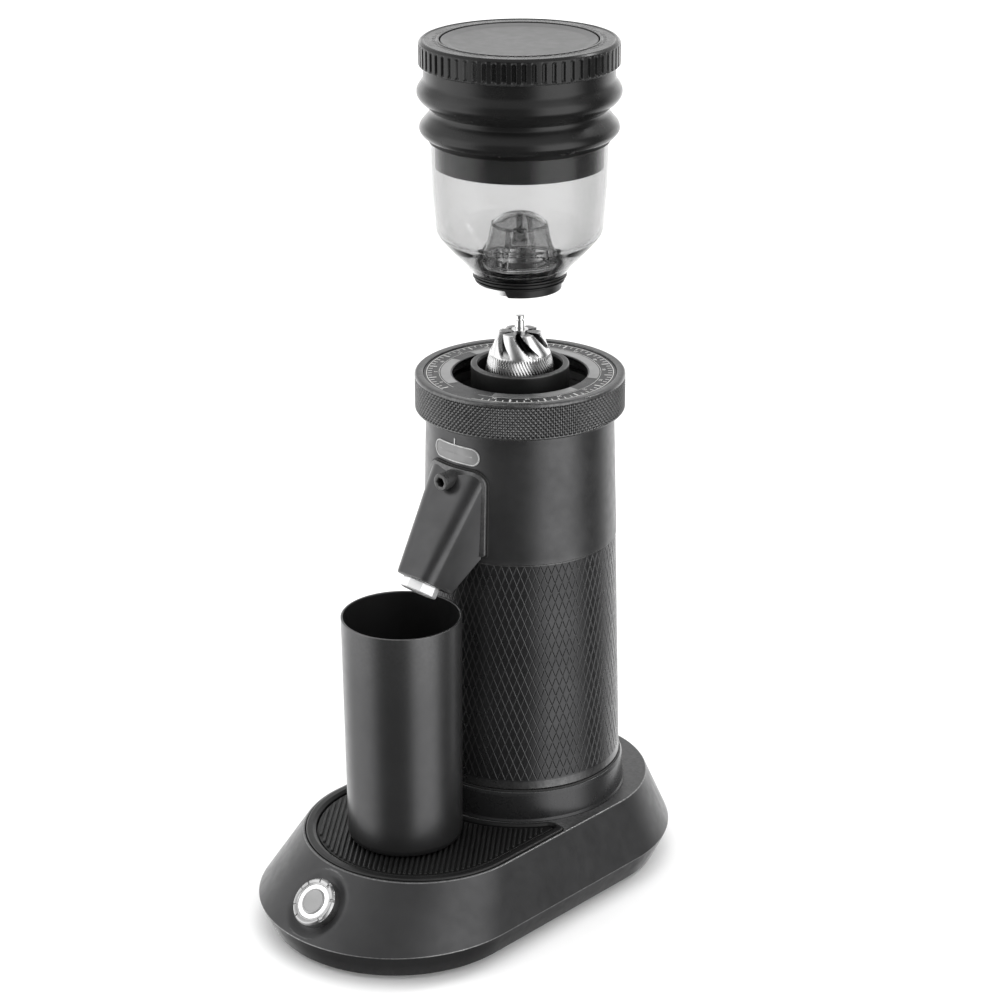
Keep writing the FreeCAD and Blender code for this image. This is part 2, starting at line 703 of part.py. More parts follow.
def make_chute():
    tip_depth = math.hypot(size("tip_front - tip_back"), size("tip_front_height - tip_back_height"))
    surface = upper_radius("chute_top")
    root_low = "chute_low + (duct_edge - duct_start) * (chute_low - tip_back_height) / (tip_back - duct_edge)"
    root_high = "chute_top + (%s - duct_start) * (chute_top - tip_front_height) / (tip_front - (%s))" % (
        surface, surface,
    )
    duct = chute_loft(
        "chute_duct",
        lambda sketch: draw_hexagon(sketch, "chute_half", root_low, root_high, "12"),
        lambda sketch: draw_hexagon(sketch, "tip_half", "0", str(tip_depth), "4"),
    )
    passage = chute_loft(
        "chute_passage",
        lambda sketch: draw_hexagon(sketch, "port_half", "port_low", "port_high", "3"),
        lambda sketch: draw_hexagon(sketch, "4.6", str(tip_depth / 2 - 4.6), str(tip_depth / 2 + 4.6), "1"),
    )
    envelope_low = "column_joint - 10"
    step_solid = turned("column_envelope_outer", [
        ("0", envelope_low), (upper_radius(envelope_low) + " + gasket_step", envelope_low),
        ("column_high_radius + gasket_step", "column_top"), ("0", "column_top"),
    ])
    core_solid = turned("column_envelope", [
        ("0", envelope_low), (upper_radius(envelope_low), envelope_low),
        ("column_high_radius", "column_top"), ("0", "column_top"),
    ])
    above = box("chute_trim", "60", "60", "30", "0", "column_y - 60", "chute_top + 0.5")
    head_seat = doc.addObject("Part::Cylinder", "chute_head_seat")
    head_seat.Placement = FreeCAD.Placement(Vector(0, COLUMN_Y - 47.6, size("screw_height")),
                                            FreeCAD.Rotation(Vector(0, 0, 1), Vector(0, -1, 0)))
    bind(head_seat, "Radius", "screw_head")
    bind(head_seat, "Height", "20")
    shank_hole = doc.addObject("Part::Cylinder", "chute_shank_hole")
    shank_hole.Placement = FreeCAD.Placement(Vector(0, COLUMN_Y - 30, size("screw_height")),
                                             FreeCAD.Rotation(Vector(0, 0, 1), Vector(0, -1, 0)))
    bind(shank_hole, "Radius", "3")
    bind(shank_hole, "Height", "20")
    spout_seat = turned("spout_seat", rectangle("0", "spout_radius", "-7", "6"), on_tip)
    flange = raised_front("gasket_block", "chute_half + 0.7", "chute_low - 0.7", "chute_top + 0.9", "6")
    gasket_port = box("gasket_port", "2 * port_half", "40", "port_high - port_low",
                      "0", "column_y - 45", "port_low")
    keep(cut("chute_body", duct, [passage, step_solid, above, head_seat, shank_hole, spout_seat]))
    gasket_ring = cut("gasket_ring", step_solid, [core_solid])
    gasket_sheet = common("gasket_sheet", [gasket_ring, flange])
    keep(cut("chute_gasket", gasket_sheet, [gasket_port, shank_hole]))

    # screw: round head with a six-sided socket, and a shank that reaches through the column's wall
    head = doc.addObject("Part::Cylinder", "chute_screw_head")
    head.Placement = FreeCAD.Placement(Vector(0, COLUMN_Y - 47.6, size("screw_height")),
                                       FreeCAD.Rotation(Vector(0, 0, 1), Vector(0, -1, 0)))
    bind(head, "Radius", "screw_head")
    bind(head, "Height", "screw_face - 47.6")
    shank = doc.addObject("Part::Cylinder", "chute_screw_shank")
    shank.Placement = FreeCAD.Placement(Vector(0, COLUMN_Y - 41.6, size("screw_height")),
                                        FreeCAD.Rotation(Vector(0, 0, 1), Vector(0, -1, 0)))
    bind(shank, "Radius", "3")
    bind(shank, "Height", "6")
    socket = doc.addObject("Part::Prism", "chute_screw_socket")
    socket.Polygon = 6
    bind(socket, "Circumradius", "2.9")
    bind(socket, "Height", "6")
    socket.Placement = FreeCAD.Placement(Vector(0, COLUMN_Y - size("screw_face") + 4, size("screw_height")),
                                         FreeCAD.Rotation(Vector(0, 0, 1), Vector(0, -1, 0)))
    keep(cut("chute_screw", joined("chute_screw_blank", [head, shank]), [socket]))

    # spout: faceted steel tube pressed into the chute's end face
    outside = doc.addObject("Part::Prism", "spout_outside")
    outside.Polygon = 8
    bind(outside, "Circumradius", "spout_radius")
    bind(outside, "Height", "6.5 + spout_reach")
    outside.Placement = tip_place.multiply(FreeCAD.Placement(Vector(0, 0, -6.5), FreeCAD.Rotation()))
    inside = turned("spout_inside", rectangle("0", "spout_bore", "-8", "8"), on_tip)
    keep(cut("spout_insert", outside, [inside]))


def raised_front(name, half, low, high, corner):
    """A block standing on the column's front, seen square on from the front."""
    body = doc.addObject("PartDesign::Body", name)
    sketch = new_sketch(body, name + "_outline", "XZ_Plane", "20")
    draw_polygon(sketch, [
        ("-(%s)" % half, low), (half, low), (half, "%s - %s" % (high, corner)),
        ("%s - %s" % (half, corner), high), ("%s - (%s)" % (corner, half), high),
        ("-(%s)" % half, "%s - %s" % (high, corner)),
    ])
    pad = body.newObject("PartDesign::Pad", name + "_pad")
    pad.Profile = sketch
    pad.Length = 60
    body.Tip = pad
    on_column(body)
    return body


tip_middle = Vector(
    0, COLUMN_Y - size("(tip_front + tip_back) / 2"), size("(tip_front_height + tip_back_height) / 2")
)
tip_normal = Vector(0, -math.sin(math.radians(TIP_TILT)), -math.cos(math.radians(TIP_TILT)))
tip_place = FreeCAD.Placement(tip_middle, FreeCAD.Rotation(Vector(0, 0, 1), tip_normal))


def on_tip(item):
    item.Placement = tip_place


# ------------------------------------------------------------------ motor and gearbox


BACKLASH = 0.08


def gear_outline(teeth, inner, outer, thicken, height, centre=(0.0, 0.0), turn=0.0):
    """Closed outline of involute teeth between two radii, thickened or thinned at the pitch circle."""
    pressure = math.radians(20)
    pitch = size("gear_module") * teeth / 2.0
    base = pitch * math.cos(pressure)
    half_pitch = (math.pi * size("gear_module") / 2.0 + thicken) / (2.0 * pitch)
    involute = math.tan(pressure) - pressure

    def half_angle(radius):
        if radius <= base:
            return half_pitch + involute
        slant = math.acos(base / radius)
        return half_pitch + involute - (math.tan(slant) - slant)

    start = max(inner, base)
    radii = [start + (outer - start) * step / 4.0 for step in range(5)]
    if inner < start - 1e-6:
        radii = [inner] + radii
    side = [(radius, half_angle(radius)) for radius in radii]
    tooth_side = [(radius, -half) for radius, half in side]
    tooth_side += [(radius, half) for radius, half in reversed(side)]
    points = []
    for tooth in range(teeth):
        middle = math.radians(turn) + 2 * math.pi * tooth / teeth
        for radius, offset in tooth_side:
            x = centre[0] + radius * math.cos(middle + offset)
            y = centre[1] + radius * math.sin(middle + offset)
            points.append(Vector(x, y, height))
    return Part.makePolygon(points + points[:1])


def gear_solid(outline, bore, low, high, centre=(0.0, 0.0)):
    blank = Part.Face(outline).extrude(Vector(0, 0, high - low))
    return blank.cut(Part.makeCylinder(bore, high - low + 2, Vector(centre[0], centre[1], low - 1)))


def make_gearbox():
    """Sun on the motor's shaft, three planets on the carrier's pins, and a toothed housing."""
    module = size("gear_module")
    low = size("gear_low")
    high = size("gear_high")
    addendum = 0.8 * module
    dedendum = 1.15 * module
    sun_teeth = int(size("sun_teeth"))
    planet_teeth = int(size("planet_teeth"))
    ring_teeth = int(size("ring_teeth"))
    sun_pitch = module * sun_teeth / 2
    planet_pitch = module * planet_teeth / 2
    ring_pitch = module * ring_teeth / 2
    orbit = sun_pitch + planet_pitch

    sun = gear_outline(sun_teeth, sun_pitch - dedendum, sun_pitch + addendum, -BACKLASH, low - 0.5)
    on_column(keep(fixed("sun_gear", gear_solid(sun, size("shaft_radius"), low - 0.5, high + 0.5))))

    pins = []
    for index in range(3):
        angle = 120.0 * index
        centre = (orbit * math.cos(math.radians(angle)), orbit * math.sin(math.radians(angle)))
        teeth = gear_outline(planet_teeth, planet_pitch - dedendum, planet_pitch + addendum, -BACKLASH,
                             low, centre, angle + 180.0 / planet_teeth)
        planet = gear_solid(teeth, size("pin_radius") + 0.06, low, high, centre)
        on_column(keep(fixed("planet_gear_%d" % (index + 1), planet)))
        pins.append(cylinder("planet_pin_%d" % (index + 1), "pin_radius", "gear_low - 0.6",
                             "gear_high + 1.5", str(centre[0]), str(COLUMN_Y + centre[1])))
    keep(together("planet_pins", pins))

    space = gear_outline(ring_teeth, ring_pitch - addendum, ring_pitch + dedendum, BACKLASH, low - 1,
                         turn=180.0 / ring_teeth)
    ring_space = Part.Face(space).extrude(Vector(0, 0, size("gearbox_top") - low + 4))
    mount_top = size("mount_top")
    tall = size("gearbox_top") - mount_top
    housing = Part.makeCylinder(size("motor_radius"), tall, Vector(0, 0, mount_top))
    hollow = Part.makeCylinder(ring_pitch + 1.2, low - 1 - mount_top, Vector(0, 0, mount_top))
    on_column(keep(fixed("ring_gear_housing", housing.cut(ring_space).cut(hollow))))

    carrier = turned("carrier_disc", [
        ("drive_radius", "gear_high + 1.5"), ("20", "gear_high + 1.5"), ("20", "carrier_high"),
        ("8", "carrier_high"), ("8", "carrier_high + 2.5"), ("drive_radius", "carrier_high + 2.5"),
    ])
    keep(carrier, "planet_carrier")
    keep(turned("gearbox_cover", [
        ("10", "gearbox_top"), ("motor_radius", "gearbox_top"), ("motor_radius", "bearing_low"),
        ("14", "bearing_low + 1"), ("14", "cover_top"), ("bearing_outer", "cover_top"),
        ("bearing_outer", "bearing_low"), ("10", "bearing_low"),
    ]))
    keep(turned("drive_shaft", [
        ("0", "gear_high + 1.5"), ("drive_radius", "gear_high + 1.5"), ("drive_radius", "burr_tip + 1"),
        ("burr_pin_radius", "burr_tip + 1"), ("burr_pin_radius", "pin_top - 2.6"), ("1.6", "pin_top - 2.6"),
        ("1.6", "pin_top - 1.8"), ("burr_pin_radius", "pin_top - 1.8"), ("burr_pin_radius", "pin_top - 0.5"),
        ("burr_pin_radius - 0.5", "pin_top"), ("0", "pin_top"),
    ]))


def make_bearings():
    """Two ball bearings: the lower one in the gearbox cover and the upper one under the chamber."""
    outers = []
    inners = []
    balls = []
    orbit = size("(bearing_bore + bearing_outer) / 2")
    for number, low in enumerate(("bearing_low", "bearing_high"), start=1):
        top = "%s + bearing_width" % low
        middle = "%s + bearing_width / 2" % low
        groove = doc.addObject("Part::Torus", "race_groove_%d" % number)
        groove.Radius1 = orbit
        bind(groove, "Radius2", "ball_radius + 0.08")
        groove.Placement = FreeCAD.Placement(Vector(0, COLUMN_Y, size(middle)), FreeCAD.Rotation(37, 0, 0))
        outer = turned("outer_blank_%d" % number, rectangle("bearing_outer - 2", "bearing_outer", low, top))
        inner = turned("inner_blank_%d" % number, rectangle("bearing_bore", "bearing_bore + 2", low, top))
        outers.append(cut("outer_race_%d" % number, outer, [groove]))
        inners.append(cut("inner_race_%d" % number, inner, [groove]))
        for index, (x, y) in enumerate(around(int(size("ball_count")), orbit, 0, COLUMN_Y), start=1):
            ball = doc.addObject("Part::Sphere", "ball_%d_%d" % (number, index))
            bind(ball, "Radius", "ball_radius")
            ball.Placement = FreeCAD.Placement(Vector(x, y, size(middle)), FreeCAD.Rotation())
            balls.append(ball)
    keep(together("bearing_outer_races", outers))
    keep(together("bearing_inner_races", inners))
    keep(together("bearing_balls", balls))


def make_motor():
    keep(turned("motor_can", [
        ("27", "motor_low + 6"), ("motor_radius", "motor_low + 6"), ("motor_radius", "motor_high"),
        ("6", "motor_high"), ("6", "motor_high - 3"), ("27", "motor_high - 3"),
    ]))
    keep(turned("motor_end_cap", [
        ("2.55", "motor_low"), ("26", "motor_low"), ("motor_radius", "motor_low + 2"),
        ("motor_radius", "motor_low + 6"), ("2.55", "motor_low + 6"),
    ]))
    magnet_ring = turned("magnet_ring", rectangle("23.5", "27", "motor_low + 14", "motor_high - 12"))
    gap = box("magnet_gap", "12", "80", "motor_high - motor_low", "0", "column_y", "motor_low")
    keep(cut("motor_magnets", magnet_ring, [gap]))
    keep(turned("motor_shaft", rectangle("0", "shaft_radius", "motor_low + 1", "gear_high + 0.5")))
    core = turned("armature_core", rectangle("shaft_radius", "22.5", "motor_low + 14", "motor_high - 12"))
    slots = [
        cylinder("armature_slot_%d" % index, "2.6", "motor_low + 10", "motor_high - 8", str(x), str(y))
        for index, (x, y) in enumerate(around(9, 20.5, 0, COLUMN_Y), start=1)
    ]
    commutator = turned("commutator", rectangle("shaft_radius", "8", "motor_low + 8", "motor_low + 14"))
    keep(cut("motor_armature", joined("armature_blank", [core, commutator]), slots))

    plate = turned("mount_disc", [
        ("6", "motor_high"), ("lower_bore", "motor_high"), ("lower_bore", "mount_top"), ("6", "mount_top"),
    ])
    holes = [
        cylinder("mount_hole_%d" % index, "2", "motor_high - 1", "mount_top + 1", str(x), str(y))
        for index, (x, y) in enumerate(around(4, 15, 45, COLUMN_Y), start=1)
    ]
    keep(cut("motor_mount", plate, holes))
    screws = []
    for index, (x, y) in enumerate(around(4, 15, 45, COLUMN_Y), start=1):
        head = cylinder("motor_screw_head_%d" % index, "3.4", "mount_top", "mount_top + 2.2", str(x), str(y))
        shank = cylinder("motor_screw_shank_%d" % index, "2", "motor_high", "mount_top", str(x), str(y))
        screws.append(joined("motor_screw_%d" % index, [head, shank]))
    keep(together("motor_screws", screws))


# ------------------------------------------------------------------ grinding head


def make_chamber():
    bowl = turned("chamber_bowl", [
        ("9", "chamber_low"), ("chamber_radius", "chamber_low"), ("chamber_radius", "column_top - 4"),
        ("upper_bore", "column_top - 4"), ("upper_bore", "column_top - 1"),
        ("chamber_radius - 0.6", "column_top - 1"), ("chamber_radius - 0.6", "chamber_top"),
        ("chamber_bore", "chamber_top"), ("chamber_bore", "chamber_floor"),
        ("6", "chamber_floor"), ("6", "bearing_high + bearing_width"),
        ("bearing_outer", "bearing_high + bearing_width"), ("bearing_outer", "bearing_high"),
        ("9", "bearing_high"),
    ])
    port = box("chamber_port", "2 * port_half", "20", "port_high - port_low", "0", "column_y - 43",
               "port_low")
    keep(cut("grind_chamber", bowl, [port]))
    seal = rectangle("drive_radius + 0.35", "6", "bearing_high + bearing_width", "chamber_floor")
    keep(turned("shaft_seal", seal))

    hub = turned("sweeper_hub", rectangle("drive_radius", "9", "chamber_floor + 0.6", "chamber_floor + 10"))
    arms = box("sweeper_arms", "68", "5", "6", "0", "column_y", "chamber_floor + 0.6")
    bore = cylinder("sweeper_bore", "drive_radius", "chamber_floor", "chamber_floor + 12", "0", "column_y")
    keep(cut("sweeper", joined("sweeper_blank", [hub, arms]), [bore]))


def make_burrs():
    cone = turned("inner_burr_cone", [
        ("drive_radius", "burr_low"), ("burr_radius", "burr_low"), ("burr_radius", "burr_low + 9"),
        ("burr_blade_radius", "burr_blade_low"), ("burr_tip_radius", "burr_tip"),
        ("drive_radius", "burr_tip"),
    ])
    flutes = []
    for index in range(int(size("flute_count"))):
        angle = 360.0 * index / size("flute_count")
        flute = doc.addObject("Part::Box", "burr_flute_%d" % (index + 1))
        flute.Length = 10
        flute.Width = 4.5
        flute.Height = 22
        slant = FreeCAD.Rotation(Vector(1, 0, 0), 38)
        lean = FreeCAD.Placement(Vector(7.5, 0, size("burr_tip") - 7), slant)
        lean = lean.multiply(FreeCAD.Placement(Vector(0, -2.2, -6), FreeCAD.Rotation()))
        turn = FreeCAD.Placement(Vector(0, COLUMN_Y, 0), FreeCAD.Rotation(Vector(0, 0, 1), angle))
        flute.Placement = turn.multiply(lean)
        flutes.append(flute)
    keep(cut("inner_burr", cone, flutes))

    ring = turned("outer_burr_ring", [
        ("17.7", "spigot_low + 0.5"), ("throat_radius", "spigot_low + 0.5"),
        ("throat_radius", "neck_top - 1"),
        ("16.2", "neck_top - 1"), ("16.6", "neck_top - 5"), ("17.7", "spigot_low + 4"),
    ])
    grooves = [
        cylinder("outer_burr_groove_%d" % index, "1.1", "spigot_low + 5", "neck_top + 1", str(x), str(y))
        for index, (x, y) in enumerate(around(12, 16.8, 15, COLUMN_Y), start=1)
    ]
    keep(cut("outer_burr", ring, grooves))


def make_adjuster():
    keep(turned("adjust_ring", [
        ("ring_bore", "ring_low"), ("ring_radius - 0.8", "ring_low"), ("ring_radius", "ring_low + 0.8"),
        ("ring_radius", "ring_high - 1"), ("ring_radius - 1", "ring_high"), ("ring_lip", "ring_high"),
        ("ring_lip", "dial_top - 1.2"), ("dial_bore + 1.2", "dial_top - 1.2"), ("dial_bore + 1.2", "web_low"),
        ("ring_bore", "web_low"),
    ]))
    keep(turned("dial_plate", rectangle("dial_bore", "ring_lip - 0.1", "dial_top - 1.2", "dial_top")))
    keep(turned("burr_carrier", [
        ("carrier_bore", "carrier_low"), ("carrier_flange", "carrier_low"),
        ("carrier_flange", "carrier_low + 4"), ("carrier_radius", "carrier_low + 4"),
        ("carrier_radius", "carrier_top - 0.6"), ("carrier_radius - 0.6", "carrier_top"),
        ("carrier_bore + 0.5", "carrier_top"), ("carrier_bore", "carrier_top - 0.5"),
    ]))


# ------------------------------------------------------------------ hopper, bellows, cup


def make_hopper():
    keep(turned("hopper_neck", [
        ("throat_radius", "spigot_low"), ("spigot_radius", "spigot_low"), ("spigot_radius", "hopper_seat"),
        ("neck_radius", "hopper_seat"), ("neck_radius", "jar_low"), ("neck_radius - 1.8", "jar_low"),
        ("neck_radius - 1.8", "neck_top"), ("throat_radius", "neck_top"),
    ]))
    shoulder = "jar_wall_radius - 2.2"
    keep(turned("hopper_jar", [
        ("neck_radius - 1.8", "jar_low"), ("neck_radius", "jar_low"), ("neck_radius + 1", "jar_low + 1.2"),
        ("32.7", "jar_cone_top"), (shoulder, "jar_shoulder"), ("jar_wall_radius - 1.2", "jar_shoulder + 14"),
        ("jar_wall_radius", "jar_top - 6"), ("jar_wall_radius", "jar_top"),
        ("jar_wall_radius - jar_thickness", "jar_top"),
        ("jar_wall_radius - jar_thickness", "jar_top - 12"),
        ("jar_wall_radius - 1.2 - jar_thickness", "jar_shoulder + 14"),
        ("%s - jar_thickness" % shoulder, "jar_shoulder + 0.7"),
        ("31.4", "jar_cone_top + 1.9"), ("neck_radius - 0.3", "jar_low + 3"),
        ("neck_radius - 1.8", "jar_low + 3"),
    ]))
    shell = turned("guard_shell", [
        ("17.2", "neck_top"), ("19.4", "neck_top"), ("17.4", "neck_top + 2"), ("13.4", "guard_rim"),
        ("9.4", "guard_rim + 3.5"), ("4.8", "guard_crown - 0.4"), ("0", "guard_crown"),
        ("0", "guard_crown - 1.4"), ("4.6", "guard_crown - 1.8"), ("8.7", "guard_rim + 2.2"),
        ("12.2", "guard_rim - 0.4"), ("16", "neck_top + 2"),
    ])
    sleeve = turned("guard_sleeve", rectangle("2.75", "3.9", "neck_top + 8.4", "guard_crown - 1.6"))
    windows = [
        box("guard_window_1", "13", "60", "9", "0", "column_y", "neck_top + 2.6"),
        box("guard_window_2", "60", "13", "9", "0", "column_y", "neck_top + 2.6"),
    ]
    keep(joined("popcorn_guard", [cut("guard_legs", shell, windows), sleeve]))


def make_bellows():
    keep(turned("hopper_band", [
        ("37", "plug_low"), ("jar_wall_radius - jar_thickness - 0.4", "plug_low"),
        ("jar_wall_radius - jar_thickness - 0.4", "jar_top"), ("jar_wall_radius + 0.8", "jar_top"),
        ("jar_wall_radius + 0.8", "jar_top + 2"), ("37", "jar_top + 2"),
    ]))
    wall = 1.6
    profile = [
        ("jar_wall_radius + 0.8", "jar_top + 2"), ("bellows_crest - 1", "jar_top + 6.5"),
        ("bellows_crest - 1", "jar_top + 9.7"), ("bellows_crest - 6", "jar_top + 13.5"),
        ("bellows_crest - 6", "jar_top + 18"), ("bellows_crest", "jar_top + 23.5"),
        ("bellows_crest", "jar_top + 28"), ("bellows_crest - 2.8", "jar_top + 31"),
        ("bellows_crest - 2.8", "lid_low"),
    ]
    inner = [("%s - %s" % (radius, wall), height) for radius, height in reversed(profile)]
    keep(turned("bellows", profile + inner))
    keep(turned("lid_cap", [
        ("41", "lid_low"), ("lid_radius - 1", "lid_low"), ("lid_radius", "lid_low + 1"),
        ("lid_radius", "lid_top - 1.6"), ("lid_radius - 1.6", "lid_top"), ("37", "lid_top"),
        ("37", "lid_top - 2.6"), ("0", "lid_top - 2.6"), ("0", "lid_top - 5"), ("41", "lid_top - 5"),
    ]))
    keep(turned("lid_disc", rectangle("0", "36.6", "lid_top - 2.6", "lid_top - 1.2")))


def make_cup():
    def under_chute(item):
        bind(item, "Placement.Base.y", "cup_y")

    floor = "mat_high"
    keep(turned("dosing_cup", [
        ("0", floor), ("cup_low_radius - 3.2", floor), ("cup_low_radius - 1", floor + " + 0.9"),
        ("cup_low_radius", floor + " + 3.2"), ("cup_top_radius", "cup_top"),
        ("cup_top_radius - cup_wall", "cup_top"), ("cup_low_radius - cup_wall", floor + " + 4"),
        ("cup_low_radius - cup_wall - 2", floor + " + 1.6"), ("0", floor + " + 1.6"),
    ], under_chute))


# ------------------------------------------------------------------ build, check and write

make_base()
make_switch()
make_inlet()
make_column()
make_chute()
make_motor()
make_gearbox()
make_bearings()
make_chamber()
make_burrs()
make_adjuster()
make_hopper()
make_bellows()
make_cup()
doc.recompute()

faults = []
for item in doc.Objects:
    if "Invalid" in item.State or "Error" in item.State:
        faults.append("%s is %s" % (item.Name, item.State))
for item in cuts:
    if not item.Shape.isNull() and item.Base.Shape.Volume - item.Shape.Volume < 0.5:
        faults.append("%s cuts nothing" % item.Name)
for label, item in nodes.items():
    if item.Shape.isNull() or not item.Shape.isValid() or item.Shape.Volume < 1:
        faults.append("%s has no valid solid" % label)
if faults:
    raise SystemExit("\n".join(faults))

os.makedirs("parts", exist_ok=True)
for label, item in nodes.items():
    item.Shape.exportStep("parts/%s.step" % label)
print("%d pieces written" % len(nodes))
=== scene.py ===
import json
import math

import bmesh
import bpy
from mathutils import Matrix, Vector


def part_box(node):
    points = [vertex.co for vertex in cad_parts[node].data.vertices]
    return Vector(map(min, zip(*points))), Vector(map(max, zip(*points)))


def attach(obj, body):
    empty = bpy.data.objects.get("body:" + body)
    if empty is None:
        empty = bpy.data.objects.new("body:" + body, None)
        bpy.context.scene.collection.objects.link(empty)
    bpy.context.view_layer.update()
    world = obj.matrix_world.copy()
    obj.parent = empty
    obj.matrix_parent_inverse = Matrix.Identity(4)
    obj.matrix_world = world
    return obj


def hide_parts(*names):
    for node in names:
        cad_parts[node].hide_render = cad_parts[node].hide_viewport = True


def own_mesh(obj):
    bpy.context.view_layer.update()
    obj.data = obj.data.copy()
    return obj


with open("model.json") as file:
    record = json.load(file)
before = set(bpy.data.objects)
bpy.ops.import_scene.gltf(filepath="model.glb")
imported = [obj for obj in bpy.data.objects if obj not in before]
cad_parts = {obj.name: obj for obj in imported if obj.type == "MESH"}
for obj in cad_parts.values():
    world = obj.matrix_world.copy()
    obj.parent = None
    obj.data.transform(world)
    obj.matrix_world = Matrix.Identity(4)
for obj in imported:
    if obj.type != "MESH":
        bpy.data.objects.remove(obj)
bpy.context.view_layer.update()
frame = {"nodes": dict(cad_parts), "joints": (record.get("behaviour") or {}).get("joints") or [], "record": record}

# Burr coffee grinder: detailed meshes and materials around the CAD frame.
# Lengths are millimetres up to build(), which turns them into metres.

MM = 0.001
TURN = 2 * math.pi
RECORD = frame["record"]
BODY_OF = {node: body for body, members in RECORD["behaviour"]["bodies"].items() for node in members}
SLOT_OF = {part["node"]: part["material_slot"] for part in RECORD["subparts"]}


# ---- places


class Span:
    """A CAD node's box in millimetres."""

    def __init__(self, node):
        low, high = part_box(node)
        self.low = low / MM
        self.high = high / MM
        self.foot, self.top = self.low.z, self.high.z
        self.middle = (self.low + self.high) / 2
        self.radius = (self.high.x - self.low.x) / 2


COLUMN = Span("adjust_ring").middle.xy
CUP = Span("dosing_cup").middle.xy


def on_column(point):
    return (point[0] + COLUMN.x, point[1] + COLUMN.y, point[2])


def on_cup(point):
    return (point[0] + CUP.x, point[1] + CUP.y, point[2])


def polar(radius, angle, *height):
    return (radius * math.cos(angle), radius * math.sin(angle), *height)


def spun(angle):
    """A placing function: turned about the z axis."""
    spin = Matrix.Rotation(angle, 3, "Z")
    return lambda point: tuple(spin @ Vector(point))


def lifted(base, corners):
    """The corners of an outline, with heights that were given from the base."""
    return [(corner[0], base + corner[1], *corner[2:]) for corner in corners]


def facing(origin, normal, up=Vector((0, 0, 1))):
    """A placing function: local z along the normal, local y as near to up as it can be."""
    z = normal.normalized()
    x = up.cross(z).normalized()
    y = z.cross(x)

    def place(point):
        return tuple(origin + x * point[0] + y * point[1] + z * point[2])

    return place


# ---- mesh tools


class Shape:
    """Points and faces of one piece; each point also has its distance along the outline it came from."""

    def __init__(self):
        self.points = []
        self.along = []
        self.faces = []

    def ring(self, points, along=0.0):
        start = len(self.points)
        self.points.extend(tuple(point) for point in points)
        self.along.extend([along] * len(points))
        return list(range(start, len(self.points)))

    def bridge(self, first, second):
        """Faces between two rings; a ring of one point is a tip."""
        count = max(len(first), len(second))
        for index in range(count):
            after = (index + 1) % count
            if len(first) == 1:
                self.faces.append((first[0], second[after], second[index]))
            elif len(second) == 1:
                self.faces.append((first[index], first[after], second[0]))
            else:
                self.faces.append((first[index], first[after], second[after], second[index]))

    def skin(self, rings, closed=False):
        for first, second in zip(rings, rings[1:] + (rings[:1] if closed else [])):
            self.bridge(first, second)

    def cap(self, ring):
        self.faces.append(tuple(ring))

    def loft(self, rings):
        """A skin through the rings, capped at both ends."""
        self.skin(rings)
        self.cap(rings[0])
        self.cap(rings[-1])

    def add(self, other, place=None):
        start = len(self.points)
        self.points.extend(place(point) if place else point for point in other.points)
        self.along.extend(other.along)
        self.faces.extend(tuple(index + start for index in face) for face in other.faces)

    def mesh(self):
        bm = bmesh.new()
        layer = bm.verts.layers.float.new("along")
        verts = []
        for point, along in zip(self.points, self.along):
            vert = bm.verts.new(point)
            vert[layer] = along
            verts.append(vert)
        for face in self.faces:
            try:
                bm.faces.new([verts[index] for index in face])
            except ValueError:
                continue
        return bm


def softened(corners, closed=True, steps=4):
    """The outline with its corners rounded; a corner is (across, up) or (across, up, radius)."""
    result = []
    count = len(corners)
    for index, corner in enumerate(corners):
        here = Vector(corner[:2])
        radius = corner[2] if len(corner) > 2 else 0
        if radius == 0 or (not closed and index in (0, count - 1)):
            result.append(tuple(here))
            continue
        back = Vector(corners[index - 1][:2]) - here
        ahead = Vector(corners[(index + 1) % count][:2]) - here
        half = back.angle(ahead) / 2
        reach = min(radius / math.tan(half), 0.48 * back.length, 0.48 * ahead.length)
        middle = here + (back.normalized() + ahead.normalized()).normalized() * reach / math.cos(half)
        start = here + back.normalized() * reach - middle
        end = here + ahead.normalized() * reach - middle
        sweep = start.angle_signed(end)
        for step in range(steps + 1):
            turned = start.copy()
            turned.rotate(Matrix.Rotation(-sweep * step / steps, 2))
            result.append(tuple(middle + turned))
    return result


def curved(points, steps=6):
    """A smooth open curve through the points."""
    ends = [points[0]] + list(points) + [points[-1]]
    result = []
    for p0, p1, p2, p3 in zip(ends, ends[1:], ends[2:], ends[3:]):
        for step in range(steps):
            t = step / steps
            result.append(tuple(
                0.5 * (2 * b + (c - a) * t + (2 * a - 5 * b + 4 * c - d) * t * t
                       + (3 * b - a - 3 * c + d) * t ** 3)
                for a, b, c, d in zip(p0, p1, p2, p3)
            ))
    result.append(tuple(points[-1]))
    return result


def lathe(profile, count=160, warp=None):
    """The profile, as (radius, height), turned about the z axis.

    warp(radius, angle, height) may move a point.
    """
    shape = Shape()
    rings = []
    along = 0.0
    before = profile[0]
    for radius, height in profile:
        along += math.dist(before, (radius, height))
        before = (radius, height)
        if radius < 1e-4:
            rings.append(shape.ring([(0, 0, height)], along))
            continue
        ring = []
        for index in range(count):
            angle = TURN * index / count
            r, a, z = warp(radius, angle, height) if warp else (radius, angle, height)
            ring.append(polar(r, a, z))
        rings.append(shape.ring(ring, along))
    on_axis = profile[0][0] < 1e-4 and profile[-1][0] < 1e-4
    shape.skin(rings, closed=not on_axis)
    return shape


def block(low, high):
    """A small box between two corners."""
    shape = Shape()
    corners = ((low[0], low[1]), (high[0], low[1]), (high[0], high[1]), (low[0], high[1]))
    rings = [shape.ring([(x, y, z) for x, y in corners]) for z in (low[2], high[2])]
    shape.skin(rings)
    shape.cap(rings[0][::-1])
    shape.cap(rings[1])
    return shape


